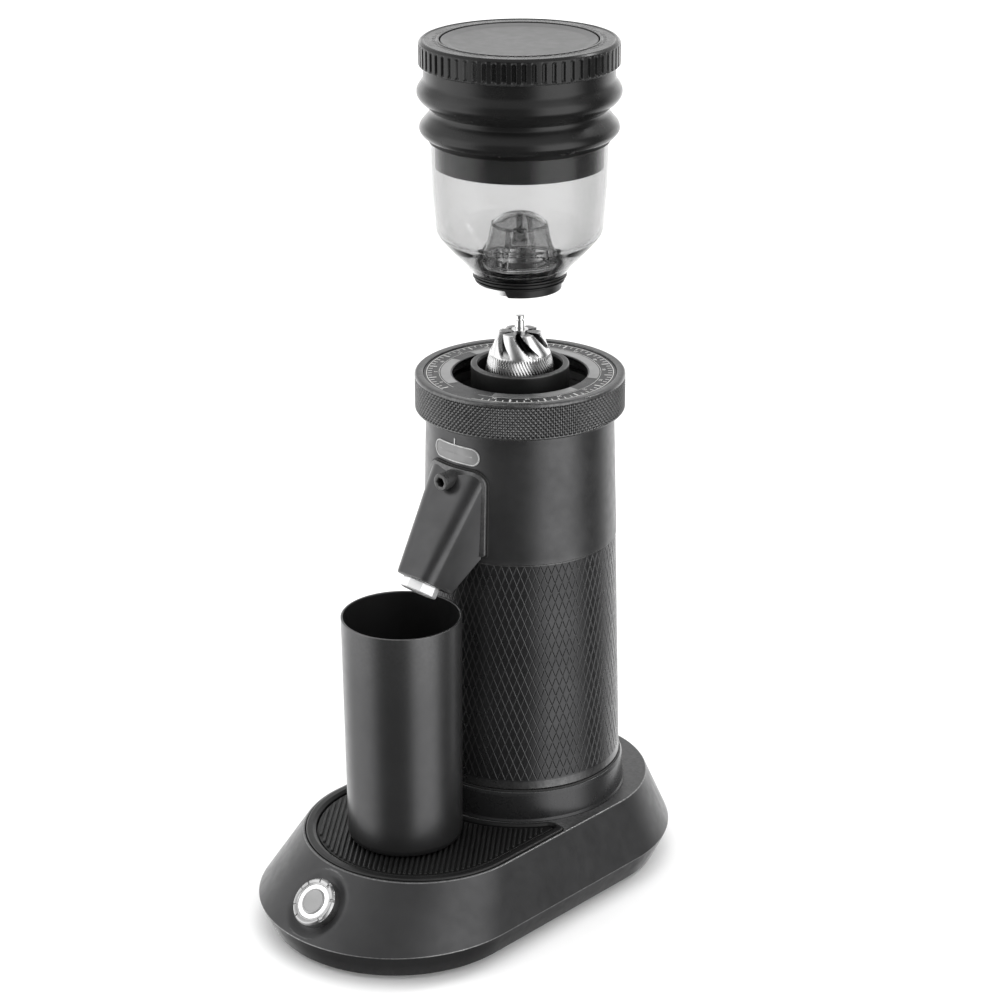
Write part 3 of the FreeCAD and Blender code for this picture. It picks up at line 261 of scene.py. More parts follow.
def smoothstep(low, high, value):
    share = min(1.0, max(0.0, (value - low) / (high - low)))
    return share * share * (3 - 2 * share)


def diamonds(columns, rows, low, high, radius_at, relief, cuts, margin=0.35):
    """A round wall covered in diamonds, each cut up at the shares in cuts.

    relief(edge) is the height at a share of the way in from a diamond's edge; the relief fades out
    in the margin at both ends.
    """
    wide = TURN / columns
    tall = (high - low) / rows
    bm = bmesh.new()
    for row in range(int(2 * rows) + 1):
        for column in range(columns):
            across = (column + 0.5 * (row % 2)) * wide
            up = low + 0.5 * row * tall
            grid = [
                [bm.verts.new((across + (s + t - 1) / 2 * wide, up + (s - t) / 2 * tall, 0)) for t in cuts]
                for s in cuts
            ]
            for first, second in zip(grid, grid[1:]):
                for index in range(len(cuts) - 1):
                    bm.faces.new((first[index], first[index + 1], second[index + 1], second[index]))
    for height, outside in ((high, True), (low, False), (high - margin, None), (low + margin, None)):
        bmesh.ops.bisect_plane(
            bm, geom=bm.verts[:] + bm.edges[:] + bm.faces[:], dist=1e-6,
            plane_co=(0, height, 0), plane_no=(0, 1, 0),
            clear_outer=outside is True, clear_inner=outside is False,
        )
    layer = bm.verts.layers.float.new("along")
    for vert in bm.verts:
        angle, height = vert.co.x, vert.co.y
        first = angle / wide + (height - low) / tall + 0.5
        second = angle / wide - (height - low) / tall + 0.5
        edge = min(abs(value - round(value)) for value in (first, second))
        fade = smoothstep(0, margin, min(height - low, high - height))
        vert.co = polar(radius_at(height) + relief(2 * edge) * fade, angle, height)
        vert[layer] = height
    bmesh.ops.remove_doubles(bm, verts=bm.verts, dist=1e-4)
    return bm


def extended(bm, height, profile):
    """Carry the open edge at a height on through the profile; returns the last edges."""
    edges = [edge for edge in bm.edges
             if edge.is_boundary and all(abs(vert.co.z - height) < 1e-3 for vert in edge.verts)]
    for radius, level in profile:
        made = bmesh.ops.extrude_edge_only(bm, edges=edges)["geom"]
        fresh = {item for item in made if isinstance(item, bmesh.types.BMVert)}
        for vert in fresh:
            angle = math.atan2(vert.co.y, vert.co.x)
            vert.co = polar(radius, angle, level)
        edges = [item for item in made
                 if isinstance(item, bmesh.types.BMEdge) and all(vert in fresh for vert in item.verts)]
    return edges


FLAT_BEND, FULL_BEND = 5, 17         # degrees between faces where the lighter edge, rub marks and painted highlight, starts and where it is full


def mark_wear_and_highlight(bm):
    """Store how sharply each point stands out, so that materials can lighten the edges there, partly as rub marks
    and partly as painted highlight.
    """
    layer = bm.verts.layers.float.new("wear_and_highlight_edge")
    for edge in bm.edges:
        if len(edge.link_faces) != 2:
            continue
        bend = math.degrees(edge.calc_face_angle_signed(0.0))
        wear_and_highlight_edge = min(1.0, max(0.0, (bend - FLAT_BEND) / (FULL_BEND - FLAT_BEND)))
        for vert in edge.verts:
            vert[layer] = max(vert[layer], wear_and_highlight_edge)


def build(name, shape, material, node=None, slot=None, hides=(), place=None, sharp=38):
    """Turn a shape into a piece that rides its node's body and stands for the nodes it hides."""
    bm = shape.mesh() if isinstance(shape, Shape) else shape
    if place:
        for vert in bm.verts:
            vert.co = place(tuple(vert.co))
    bmesh.ops.remove_doubles(bm, verts=bm.verts, dist=1e-4)
    bmesh.ops.dissolve_degenerate(bm, edges=bm.edges, dist=1e-5)
    bmesh.ops.recalc_face_normals(bm, faces=bm.faces)
    mark_wear_and_highlight(bm)
    bm.transform(Matrix.Scale(MM, 4))
    mesh = bpy.data.meshes.new(name)
    bm.to_mesh(mesh)
    bm.free()
    mesh.shade_smooth()
    mesh.set_sharp_from_angle(angle=math.radians(sharp))
    mesh.materials.append(material)
    piece = bpy.data.objects.new(name, mesh)
    bpy.context.scene.collection.objects.link(piece)
    normals = piece.modifiers.new("normals", "WEIGHTED_NORMAL")
    normals.keep_sharp = True
    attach(piece, BODY_OF[node])
    if hides:
        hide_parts(*hides)
    slot or SLOT_OF[node]
    return piece


def stand_for(node, shape, material, place=on_column, sharp=38):
    """A piece that takes one CAD node's place."""
    return build(node + "_form", shape, material, node=node, hides=(node,), place=place, sharp=sharp)


# ---- materials


class Nodes:
    """Short ways to add nodes to a tree."""

    def __init__(self, tree):
        self.nodes = tree.nodes
        self.link = tree.links.new

    def add(self, kind, **settings):
        node = self.nodes.new("ShaderNode" + kind)
        for key, value in settings.items():
            setattr(node, key, value)
        return node

    def maths(self, operation, first, second):
        """Each side may be a number or another node's output."""
        node = self.add("Math", operation=operation)
        for socket, value in zip(node.inputs, (first, second)):
            if isinstance(value, (int, float)):
                socket.default_value = value
            else:
                self.link(value, socket)
        return node.outputs["Value"]

    def spread(self, source, low, high, start=0.3, stop=0.7, **settings):
        """From start to stop, the source becomes low to high."""
        node = self.add("MapRange", **settings)
        for socket, value in zip(("From Min", "From Max", "To Min", "To Max"), (start, stop, low, high)):
            node.inputs[socket].default_value = value
        self.link(source, node.inputs["Value"])
        return node.outputs["Result"]


PATCH_SIZE, GLOSS_SIZE, WEAR_AND_HIGHLIGHT_SPOT_SIZE = 18, 5, 1.6       # of the uneven spots in a finish, in millimetres


def as_colour(value):
    """One number stands for a grey."""
    return (value,) * 3 if isinstance(value, float) else value


def finish(name, colour, roughness, metallic=0.0, patch=0.10, uneven=0.05, grain=0.5, depth=0.01,
           stretch=(1, 1, 1), turned=0.0, wear_and_highlight=None, wear_and_highlight_share=0.7, sunk=None, cloudy=0.0, **sockets):
    """A surface with patchy colour, uneven gloss and fine grain.

    It may also have turning marks, edges lightened partly by rub marks and partly by painted highlight,
    and painted shade in hollows; cloudy is how much of the light that goes through is lost in each millimetre.
    """
    colour, wear_and_highlight, sunk = as_colour(colour), as_colour(wear_and_highlight), as_colour(sunk)
    material = bpy.data.materials.new(name + "_look")
    material.use_nodes = True
    tree = Nodes(material.node_tree)
    shader = tree.nodes["Principled BSDF"]

    def noise(feature, detail=3.0):
        node = tree.add("TexNoise")
        node.inputs["Scale"].default_value = 1 / feature
        node.inputs["Detail"].default_value = detail
        tree.link(where.outputs["Vector"], node.inputs["Vector"])
        return node.outputs["Fac"]

    def attribute(label):
        return tree.add("Attribute", attribute_name=label).outputs["Fac"]

    def mixed(share, first, second):
        node = tree.add("Mix", data_type="RGBA")
        tree.link(share, node.inputs["Factor"])
        for socket, value in (("A", first), ("B", second)):
            target = [item for item in node.inputs if item.name == socket and item.type == "RGBA"][0]
            if isinstance(value, tuple):
                target.default_value = (*value, 1)
            else:
                tree.link(value, target)
        return [item for item in node.outputs if item.type == "RGBA"][0]

    where = tree.add("Mapping")
    where.inputs["Scale"].default_value = [value / MM for value in stretch]
    tree.link(tree.add("TexCoord").outputs["Object"], where.inputs["Vector"])

    dark = tuple(value * (1 - patch) for value in colour)
    light = tuple(min(1.0, value * (1 + patch)) for value in colour)
    tone = mixed(tree.spread(noise(PATCH_SIZE), 0, 1), dark, light)
    gloss = tree.spread(noise(GLOSS_SIZE, 5), roughness - uneven, roughness + uneven)
    relief = noise(grain, 2)
    if turned:
        marks = tree.add("TexNoise", noise_dimensions="1D")
        marks.inputs["Scale"].default_value = 1 / turned
        marks.inputs["Detail"].default_value = 4
        tree.link(attribute("along"), marks.inputs["W"])
        relief = tree.maths("ADD", tree.maths("MULTIPLY", relief, 0.4), marks.outputs["Fac"])
        gloss = tree.maths("ADD", gloss, tree.spread(marks.outputs["Fac"], -0.04, 0.04))
    if wear_and_highlight:
        # Lighter colour on sharply bent edges: partly rub marks, partly a painted highlight on edges that catch
        # the light.
        wear_and_highlight_mask = tree.spread(attribute("wear_and_highlight_edge"), 0, wear_and_highlight_share, 0.35, 1.0)
        tone = mixed(tree.maths("MULTIPLY", wear_and_highlight_mask, tree.spread(noise(WEAR_AND_HIGHLIGHT_SPOT_SIZE, 4), 0.45, 1.0)), tone, wear_and_highlight)
    # Painted shade: darkens the colour by the along attribute, which on the burr marks its hollows and top.
    if sunk:
        tone = mixed(tree.spread(attribute("along"), 0, 1, 0.0, 1.0), tone, sunk)
    if cloudy:
        body = tree.add("VolumeAbsorption")
        body.inputs["Color"].default_value = (0, 0, 0, 1)
        body.inputs["Density"].default_value = cloudy / MM
        tree.link(body.outputs["Volume"], tree.nodes["Material Output"].inputs["Volume"])
    bump = tree.add("Bump")
    bump.inputs["Strength"].default_value = 1
    bump.inputs["Distance"].default_value = depth * MM
    tree.link(relief, bump.inputs["Height"])
    tree.link(bump.outputs["Normal"], shader.inputs["Normal"])
    tree.link(tone, shader.inputs["Base Color"])
    tree.link(gloss, shader.inputs["Roughness"])
    shader.inputs["Metallic"].default_value = metallic
    for socket, value in sockets.items():
        shader.inputs[socket.replace("_", " ")].default_value = value
    return material


# The base paint's lighter edges are partly rub marks and partly a painted highlight: the light lines along the
# belt crease, the deck's rear edge and the switch dish's rim.
PAINT = finish("base_paint", (0.050, 0.050, 0.051), 0.38, metallic=0.7, grain=0.45, depth=0.003, wear_and_highlight=0.42,
    wear_and_highlight_share=0.6)
COLLAR = finish("collar", (0.040, 0.040, 0.041), 0.28, metallic=0.6, patch=0.04, uneven=0.02, grain=0.5,
    depth=0.001, wear_and_highlight=0.20, wear_and_highlight_share=0.4)
SATIN = finish("satin", (0.062, 0.062, 0.063), 0.36, metallic=0.8, grain=0.4, depth=0.002, wear_and_highlight=0.20,
    wear_and_highlight_share=0.5)
# On the knurled column the lighter edges are a painted highlight: they draw the thin light lines of the diamond
# lattice.
ENGRAVED = finish("engraved", (0.040, 0.040, 0.041), 0.30, metallic=0.8, grain=0.4, depth=0.001, wear_and_highlight=0.15,
    wear_and_highlight_share=0.7)
RING = finish("ring", (0.026, 0.026, 0.027), 0.30, metallic=0.8, grain=0.3, depth=0.002, turned=0.25,
    wear_and_highlight=0.17, wear_and_highlight_share=0.8)
DIAL = finish("dial", (0.024, 0.024, 0.025), 0.32, metallic=0.8, grain=0.3, depth=0.001, turned=0.2)
PRINT = finish("dial_marks", (0.60, 0.60, 0.59), 0.5, patch=0.2, grain=0.2, depth=0.001)
# Silver for the dial's arcs, one of which is a painted highlight.
SILVER_AND_HIGHLIGHT = finish("dial_band_and_highlight", 0.34, 0.38, metallic=1.0, grain=0.25, depth=0.001, turned=0.15)
CUP_BLACK = finish("cup", (0.062, 0.062, 0.063), 0.32, metallic=0.8, patch=0.04, uneven=0.03, grain=0.4,
    depth=0.001, wear_and_highlight=0.22, wear_and_highlight_share=0.5)
CARRIER = finish("carrier", 0.030, 0.40, metallic=0.7, grain=0.4, depth=0.003, wear_and_highlight=0.18, wear_and_highlight_share=0.7)
RUBBER = finish("rubber", 0.012, 0.62, patch=0.2, grain=0.35, depth=0.02)
MAT = finish("mat", 0.005, 0.42, patch=0.2, grain=0.4, depth=0.008, wear_and_highlight=0.018, Specular_IOR_Level=0.25)
SILICONE = finish("bellows", 0.008, 0.25, patch=0.15, uneven=0.03, grain=0.6, depth=0.003,
    Specular_IOR_Level=0.34)
PLASTIC = finish("plastic", 0.009, 0.36, grain=0.35, depth=0.005, wear_and_highlight=0.03, wear_and_highlight_share=0.5,
    Specular_IOR_Level=0.3)
LID_PLASTIC = finish("lid", 0.006, 0.26, grain=0.35, depth=0.003, wear_and_highlight=0.05, wear_and_highlight_share=0.6,
    Specular_IOR_Level=0.32)
LID_FACE = finish("lid_disc", 0.120, 0.52, grain=0.3, depth=0.006, patch=0.03)
LID_MARKS = finish("lid_marks", 0.10, 0.45, patch=0.2, grain=0.3, depth=0.004)
BAND = finish("band", 0.004, 0.40, patch=0.1, grain=0.5, depth=0.001, Specular_IOR_Level=0.12)
BADGE = finish("badge", 0.21, 0.40, metallic=0.7, grain=0.3, depth=0.002, wear_and_highlight=0.55, wear_and_highlight_share=0.9)
STEEL = finish("bright_steel", 0.80, 0.16, metallic=1.0, patch=0.04, grain=0.5, depth=0.001, turned=0.3)
# The burr's steel gets painted shade in its hollows and on its top.
BURR_STEEL = finish("burr_steel", 0.62, 0.27, metallic=1.0, patch=0.06, grain=0.3, depth=0.001, sunk=0.02)
SPOUT_STEEL = finish("spout_steel", 0.86, 0.42, metallic=0.45, patch=0.04, grain=0.4, depth=0.001)
BEZEL = finish("bezel", 0.42, 0.33, metallic=1.0, patch=0.05, grain=0.3, depth=0.001, turned=0.2)
BUTTON = finish("button", 0.30, 0.40, metallic=0.8, patch=0.06, grain=0.25, depth=0.002, turned=0.15)
LIT = finish("lit_ring", 0.95, 0.4, patch=0.03, grain=0.3, depth=0.002, Emission_Color=(1, 1, 1, 1),
    Emission_Strength=0.4)
BLACK_STEEL = finish("black_steel", 0.012, 0.3, metallic=0.5, grain=0.3, depth=0.002, wear_and_highlight=0.12)
CLEAR = finish("clear_jar", 0.96, 0.01, patch=0.01, uneven=0.005, grain=3, depth=0.0004, cloudy=0.17,
    Transmission_Weight=1.0, IOR=1.36)
SMOKED = finish("smoked", 0.62, 0.03, patch=0.05, uneven=0.02, grain=2, depth=0.001,
    Transmission_Weight=1.0, IOR=1.38)

LOOK_OF_SLOT = {
    "base_paint": PAINT, "black_rubber": RUBBER, "black_plastic": PLASTIC, "bezel_steel": BEZEL,
    "button_steel": BUTTON, "lit_ring": LIT, "knurled_metal": ENGRAVED, "satin_metal": SATIN,
    "badge_metal": BADGE, "black_steel": BLACK_STEEL, "bright_steel": STEEL, "burr_steel": BURR_STEEL,
    "ring_metal": CARRIER, "dial_print": DIAL, "clear_jar": CLEAR, "smoked_guard": SMOKED,
    "lid_print": LID_FACE, "cup_metal": CUP_BLACK,
    "plate_steel": finish("zinc", 0.45, 0.38, metallic=1.0, patch=0.12, grain=1.2, depth=0.006),
    "screw_steel": finish("screw", (0.30, 0.30, 0.31), 0.34, metallic=1.0, grain=0.4, depth=0.004),
    "board_green": finish("board", (0.03, 0.14, 0.06), 0.35, patch=0.25, grain=1.5, depth=0.02),
    "magnet_iron": finish("ferrite", (0.08, 0.08, 0.085), 0.7, patch=0.2, grain=0.4, depth=0.03),
    "shaft_steel": finish("shaft", 0.60, 0.24, metallic=1.0, patch=0.05, grain=0.4, depth=0.003,
        stretch=(1, 1, 0.1)),
    "armature_copper": finish("copper", (0.50, 0.24, 0.12), 0.36, metallic=0.9, patch=0.25, grain=0.7,
        depth=0.05, stretch=(4, 4, 0.3)),
    "gear_plastic": finish("acetal", (0.80, 0.79, 0.72), 0.42, patch=0.05, grain=0.5, depth=0.006),
    "chamber_alloy": finish("cast", 0.26, 0.48, metallic=1.0, patch=0.12, grain=0.8, depth=0.03),
}


def dress_inside():
    """The CAD nodes that stay get the same finishes."""
    for node, item in frame["nodes"].items():
        item.data.materials.clear()
        item.data.materials.append(LOOK_OF_SLOT[SLOT_OF[node]])


# ---- base and tray

BELT_HEIGHT = 15.6
SILL_RADIUS = 63.5
DECK_RADIUS = 57.7
DECK_FRONT = 34.7
END_CENTRE = 49.3
SHELL_WALL = 3.5
ROOF_HEIGHT = 37.4
TRAY_SHOULDER = 28.6
TRAY_REAR_RADIUS = 54.6
TRAY_RIM = 5.4
TRAY_REAR_RIM = 2.5
SLOPE_STEPS = 44
DISH_EDGE = 12.6, 18.2      # from the switch's axis, where its dish starts to rise and where it ends
DISH_DEPTH = 1.9
SEAT_FLOOR = 40.4


def switch_axis():
    """Where the switch's axis meets the sloping front, and the way it faces."""
    joint = next(item for item in frame["joints"] if item["name"] == "button_press")
    normal = -Vector(joint["axis"]).normalized()
    light = Span("light_ring")
    middle_depth = 1.5          # from the slope to the middle of the light ring's depth
    return light.middle + normal * middle_depth, normal


SWITCH_POINT, SWITCH_NORMAL = switch_axis()
on_switch = facing(SWITCH_POINT, SWITCH_NORMAL)


def stadium(radius, front, back=END_CENTRE):
    """Points round the base: fine at the front end, by the switch."""
    points = []
    arc_steps, side_steps, front_steps = 72, 24, 200
    crowding = 0.55             # how much closer together the front points are at the middle
    for step in range(side_steps):
        points.append((radius, -front + (front + back) * step / side_steps))
    for step in range(arc_steps):
        angle = math.pi * step / arc_steps
        x, y = polar(radius, angle)
        points.append((x, back + y))
    for step in range(side_steps):
        points.append((-radius, back - (front + back) * step / side_steps))
    for step in range(front_steps):
        share = 2 * step / front_steps - 1
        angle = 1.5 * math.pi + math.pi / 2 * ((1 - crowding) * share + crowding * share ** 3)
        x, y = polar(radius, angle)
        points.append((x, -front + y))
    return points


def tray_outline(inset, rear_inset, tip_radius=4.6):
    """The tray's outline: round in front, hollow behind, with rounded tips."""
    half = Span("drip_tray").radius - inset
    shoulder = COLUMN.y - TRAY_SHOULDER - rear_inset
    radius = TRAY_REAR_RADIUS + rear_inset
    drop = COLUMN.y - shoulder
    meet = math.sqrt(radius * radius - drop * drop)
    step = half - meet
    tip = min(tip_radius, 0.5 * step)
    bend = min(3.4, 0.45 * step)
    right = []
    for index in range(12):
        right.append((half, -DECK_FRONT + (shoulder - tip + DECK_FRONT) * index / 12))
    after = math.atan2(-drop, meet) - bend / radius
    x, y = polar(radius, after)
    for first, knee, last in (
        ((half, shoulder - tip), (half, shoulder), (half - tip, shoulder)),
        ((meet + bend, shoulder), (meet, shoulder), (x, COLUMN.y + y)),
    ):
        for index in range(9):
            t = index / 8
            right.append(tuple(
                (1 - t) ** 2 * a + 2 * t * (1 - t) * b + t * t * c for a, b, c in zip(first, knee, last)))
    rear_steps = 30
    for index in range(1, rear_steps + 1):
        x, y = polar(radius, after + (-math.pi / 2 - after) * index / rear_steps)
        right.append((x, COLUMN.y + y))
    left = [(-x, y) for x, y in reversed(right[1:-1])]
    front = []
    for index in range(96):
        x, y = polar(half, math.pi + math.pi * index / 96)
        front.append((x, -DECK_FRONT + y))
    return right + left + front


def at_height(outline, height):
    return [(x, y, height) for x, y in outline]


def make_base():
    span = Span("base_shell")
    deck = span.top
    sill = span.foot
    belt = span.radius
    rise = deck - BELT_HEIGHT
    roof_share = (ROOF_HEIGHT - BELT_HEIGHT) / rise

    slope = [(DECK_RADIUS + (belt - DECK_RADIUS) * index / SLOPE_STEPS, deck - rise * index / SLOPE_STEPS)
             for index in range(1, SLOPE_STEPS)]
    outer = softened([(DECK_RADIUS - 6, deck), (DECK_RADIUS, deck, 0.8), (belt, BELT_HEIGHT, 1.0),
                      (SILL_RADIUS, sill, 0.8), (60.0, sill)], closed=False, steps=3)
    knee = next(index for index, point in enumerate(outer) if point[1] < deck - 3)
    slope = [point for point in slope if outer[knee - 1][1] > point[1] > outer[knee][1]]
    profile = outer[1:knee] + slope + outer[knee:]
    profile += [
        (belt - SHELL_WALL, BELT_HEIGHT),
        (belt - SHELL_WALL - (belt - DECK_RADIUS) * roof_share, ROOF_HEIGHT),
    ]
    shape = Shape()
    rings = []
    for index, (radius, height) in enumerate(profile):
        ring = []
        share = max(0.0, (height - BELT_HEIGHT) / rise)
        for x, y in stadium(radius, END_CENTRE + (DECK_FRONT - END_CENTRE) * share):
            point = Vector((x, y, height))
            if index < len(profile) - 4 and height > BELT_HEIGHT + 1:
                away = point - SWITCH_POINT
                lift = away.dot(SWITCH_NORMAL)
                spread = (away - SWITCH_NORMAL * lift).length
                dish = 1 - smoothstep(*DISH_EDGE, spread)
                point -= SWITCH_NORMAL * max(0.0, lift + DISH_DEPTH) * dish
            ring.append(point)
        rings.append(shape.ring(ring, index))
    shape.skin(rings)
    shape.cap(rings[-1])
    lip = lifted(deck, [(0.7, 0), (0.56, -0.1), (0.45, -0.4), (0.4, -1.0)])
    seat = [shape.ring(at_height(tray_outline(-out, -out, 5.0), height))
            for out, height in lip + [(0.4, SEAT_FLOOR)]]
    shape.skin(seat)
    shape.cap(seat[-1])
    bm = shape.mesh()
    bm.verts.ensure_lookup_table()
    rim = []
    for ring in (rings[0], seat[0]):
        for index, number in enumerate(ring):
            first = bm.verts[number]
            second = bm.verts[ring[(index + 1) % len(ring)]]
            rim.append(bm.edges.get((first, second)) or bm.edges.new((first, second)))
    bmesh.ops.triangle_fill(bm, edges=rim, use_beauty=True, normal=(0, 0, 1))
    stand_for("base_shell", bm, PAINT, place=None, sharp=30)


def make_tray():
    span = Span("drip_tray")
    mat = Span("tray_mat")
    low, top = span.foot, span.top
    rear = TRAY_REAR_RIM / TRAY_RIM
    shape = Shape()
    path = softened([
        (0.9, low), (0, low + 0.6, 0.3), (0, top, 0.9), (3.2, top, 1.0), (TRAY_RIM - 0.5, top - 1.0, 0.6),
        (TRAY_RIM, mat.foot), (TRAY_RIM + 0.2, mat.foot)], closed=False)
    shape.loft([shape.ring(at_height(tray_outline(inset, inset * rear), height), index)
                for index, (inset, height) in enumerate(path)])
    stand_for("drip_tray", shape, PLASTIC, place=None, sharp=30)


def crossings(outline, origin, way, side):
    """Where a line cuts an outline, as sorted distances along the line."""
    found = []
    for first, second in zip(outline, outline[1:] + outline[:1]):
        a = (Vector(first) - origin).dot(side)
        b = (Vector(second) - origin).dot(side)
        if (a < 0) != (b < 0):
            found.append((Vector(first).lerp(Vector(second), a / (a - b)) - origin).dot(way))
    return sorted(found)


def make_mat():
    span = Span("tray_mat")
    rib_height, rib_half, pitch = 0.9, 0.8, 2.5
    sheet_top = span.top - rib_height
    shape = Shape()
    path = softened([(0, span.foot), (0, sheet_top, 0.4), (1.2, sheet_top)], closed=False)
    inset, rear = TRAY_RIM + 0.35, TRAY_REAR_RIM + 0.35
    shape.loft([shape.ring(at_height(tray_outline(inset + out, rear + out), height)) for out, height in path])
    edge = tray_outline(inset + 1.0, rear + 1.0)
    way = Vector((0.62, -0.78)).normalized()
    side = Vector((-way.y, way.x))
    centre = Vector((0, -DECK_FRONT))
    section = [(rib_half * math.cos(a), rib_height * math.sin(a) ** 0.7)
               for a in (math.pi * step / 8 for step in range(9))]
    for index in range(-40, 41):
        origin = centre + side * pitch * index
        ends = crossings(edge, origin, way, side)
        for start, stop in zip(ends[::2], ends[1::2]):
            if stop - start < 3:
                continue
            rings = []
            for position, share in (
                (start, 0.05), (start + 0.25, 0.7), (start + 0.7, 1),
                (stop - 0.7, 1), (stop - 0.25, 0.7), (stop, 0.05),
            ):
                base = origin + way * position
                rings.append(shape.ring([
                    (base.x + side.x * across * share, base.y + side.y * across * share,
                     sheet_top - 0.05 + up * share)
                    for across, up in section
                ]))
            shape.loft(rings)
    stand_for("tray_mat", shape, MAT, place=None, sharp=50)


# The bezel's marks, as (bearing, half width) in degrees.
SWITCH_MARKS = ((23, 2.6), (67, 4.0), (327, 6.0)) + tuple((place, 1.0) for place in (101, 138, 161, 209, 242))


def make_switch():
    """Turned bezel with cut marks, lit ring and satin cap, square to the sloping front."""
    radius = Span("switch_bezel").radius
    face = 3.4
    bezel = [(0, -18)] + softened(
        [(9.5, -18), (9.5, -3), (radius - 0.1, -3)]
        + lifted(face, [(radius - 0.1, -1.3, 0.2), (radius - 1.0, 0, 0.6), (9.5, -0.35, 0.2),
                        (9.3, -0.7, 0.1), (8.95, -0.7, 0.1), (8.65, -1.0)])
        + [(8.65, -6), (0, -6)], closed=False)

    def notched(radius, angle, height):
        cut = 0.0
        for place, half in SWITCH_MARKS:
            off = abs((math.degrees(angle) - place + 180) % 360 - 180)
            cut = max(cut, 1 - smoothstep(half, half + 0.8, off))
        cut *= smoothstep(9.5, 9.8, radius) * smoothstep(face - 1.2, face - 0.7, height)
        return radius, angle, height - 0.75 * cut

    stand_for("switch_bezel", lathe(bezel, 360, notched), BEZEL, place=on_switch)
    light = softened([(6.45, -6), (8.45, -6), (8.45, face - 0.4, 0.35), (6.45, face - 0.4, 0.35)])
    stand_for("light_ring", lathe(light, 96), LIT, place=on_switch)
    top = face + 0.1
    cap = [(0, -3)] + softened([
        (6.1, -3), (6.1, top, 0.5), (5.2, top), (4.9, top - 0.15), (0, top - 0.2)], closed=False)
    stand_for("button_cap", lathe(cap, 96), BUTTON, place=on_switch)


def make_inlet():
    """Round power socket in the sloping back."""
    shell = Span("base_shell")
    normal = Vector((0, shell.top - BELT_HEIGHT, shell.radius - DECK_RADIUS)).normalized()
    buried = 6.25               # from the slope to the middle of the socket's length
    outline = softened([
        (0, -14), (6, -14), (6, 0), (8.5, 0), (8.5, 0.8, 0.3), (7.7, 1.5, 0.4), (2.8, 1.5, 0.3), (2.8, -9),
        (1, -9), (1, -0.2, 0.3), (0, 0)], closed=False)
    stand_for("power_inlet", lathe(outline, 64), PLASTIC,
              place=facing(Span("power_inlet").middle + normal * buried, normal))


def make_feet():
    span = Span("rubber_feet")
    radius = 8
    across = span.high.x - radius
    along = span.high.y - radius
    outline = softened([
        (0, 2.5), (radius, 2.5), (radius, 0, 0.7), (6.2, 0, 0.2), (5.9, 0.4, 0.2), (0, 0.4)], closed=False)
    foot = lathe(outline, 48)
    shape = Shape()
    for x in (-across, across):
        for y in (-along, along):
            shape.add(foot, lambda point, x=x, y=y: (point[0] + x, point[1] + y, point[2]))
    stand_for("rubber_feet", shape, RUBBER, place=None)


# ---- column

PLINTH_TOP = 59.1
JOINT_HEIGHT = Span("upper_column").foot
COLUMN_TOP = Span("upper_column").top
COLUMN_FOOT_RADIUS, COLUMN_TOP_RADIUS = 50.0, 45.75
COLUMN_BORE = 44.2


def lower_radius(height):
    share = (height - PLINTH_TOP) / (COLUMN_TOP - PLINTH_TOP)
    return COLUMN_FOOT_RADIUS - (COLUMN_FOOT_RADIUS - COLUMN_TOP_RADIUS) * share


def upper_radius(height):
    step = 0.3                  # the upper part stands this much proud of the lower one
    share = (COLUMN_TOP - height) / (COLUMN_TOP - JOINT_HEIGHT)
    return COLUMN_TOP_RADIUS + (lower_radius(JOINT_HEIGHT) + step - COLUMN_TOP_RADIUS) * share


def make_column():
    collar = Span("plinth_collar")
    low, top = collar.foot, collar.top
    outline = softened([
        (COLUMN_BORE, low), (52.8, low), (52.8, low + 0.5, 0.2), (52.1, low + 1.5, 0.8), (51.5, top - 1.6, 1),
        (50.9, top, 0.5), (COLUMN_BORE, top)])
    stand_for("plinth_collar", lathe(outline, 192), COLLAR)
    gasket = Span("column_gasket")
    low, top = gasket.foot, gasket.top
    outline = softened([(COLUMN_BORE, low), (50.5, low), (50.5, top, 0.4), (COLUMN_BORE, top)])
    stand_for("column_gasket", lathe(outline, 160), RUBBER)

    tube = Span("lower_column")
    band_top = 65.2
    knurl_top = tube.top - 0.5

    def groove(edge):
        return -0.16 * (1 - smoothstep(0.0, 0.14, edge))

    shares = (0, 0.035, 0.07, 0.11, 0.5, 0.89, 0.93, 0.965, 1)
    wall = diamonds(80, 11.5, band_top, knurl_top, lower_radius, groove, shares, 0.2)
    spigot, spigot_top = 42.6, 138
    below = extended(wall, band_top, [
        (lower_radius(band_top) - 0.12, band_top - 0.12), (lower_radius(64.6), 64.6),
        (lower_radius(60.7), 60.7), (lower_radius(60.1) - 0.5, tube.foot), (spigot, tube.foot),
        (spigot, spigot_top), (COLUMN_BORE, spigot_top)])
    above = extended(wall, knurl_top, [
        (lower_radius(knurl_top) - 0.3, tube.top), (COLUMN_BORE, tube.top)])
    bmesh.ops.bridge_loops(wall, edges=below + above)
    stand_for("lower_column", wall, ENGRAVED, sharp=40)

    low, top, inner = JOINT_HEIGHT, COLUMN_TOP, 42
    between = [low + (top - low) * step / 8 for step in range(1, 8)]
    outline = softened([(inner, low), (upper_radius(low), low, 0.4)]
                       + [(upper_radius(height), height) for height in between]
                       + [(upper_radius(top), top, 0.5), (inner, top)])
    stand_for("upper_column", lathe(outline, 224), SATIN)


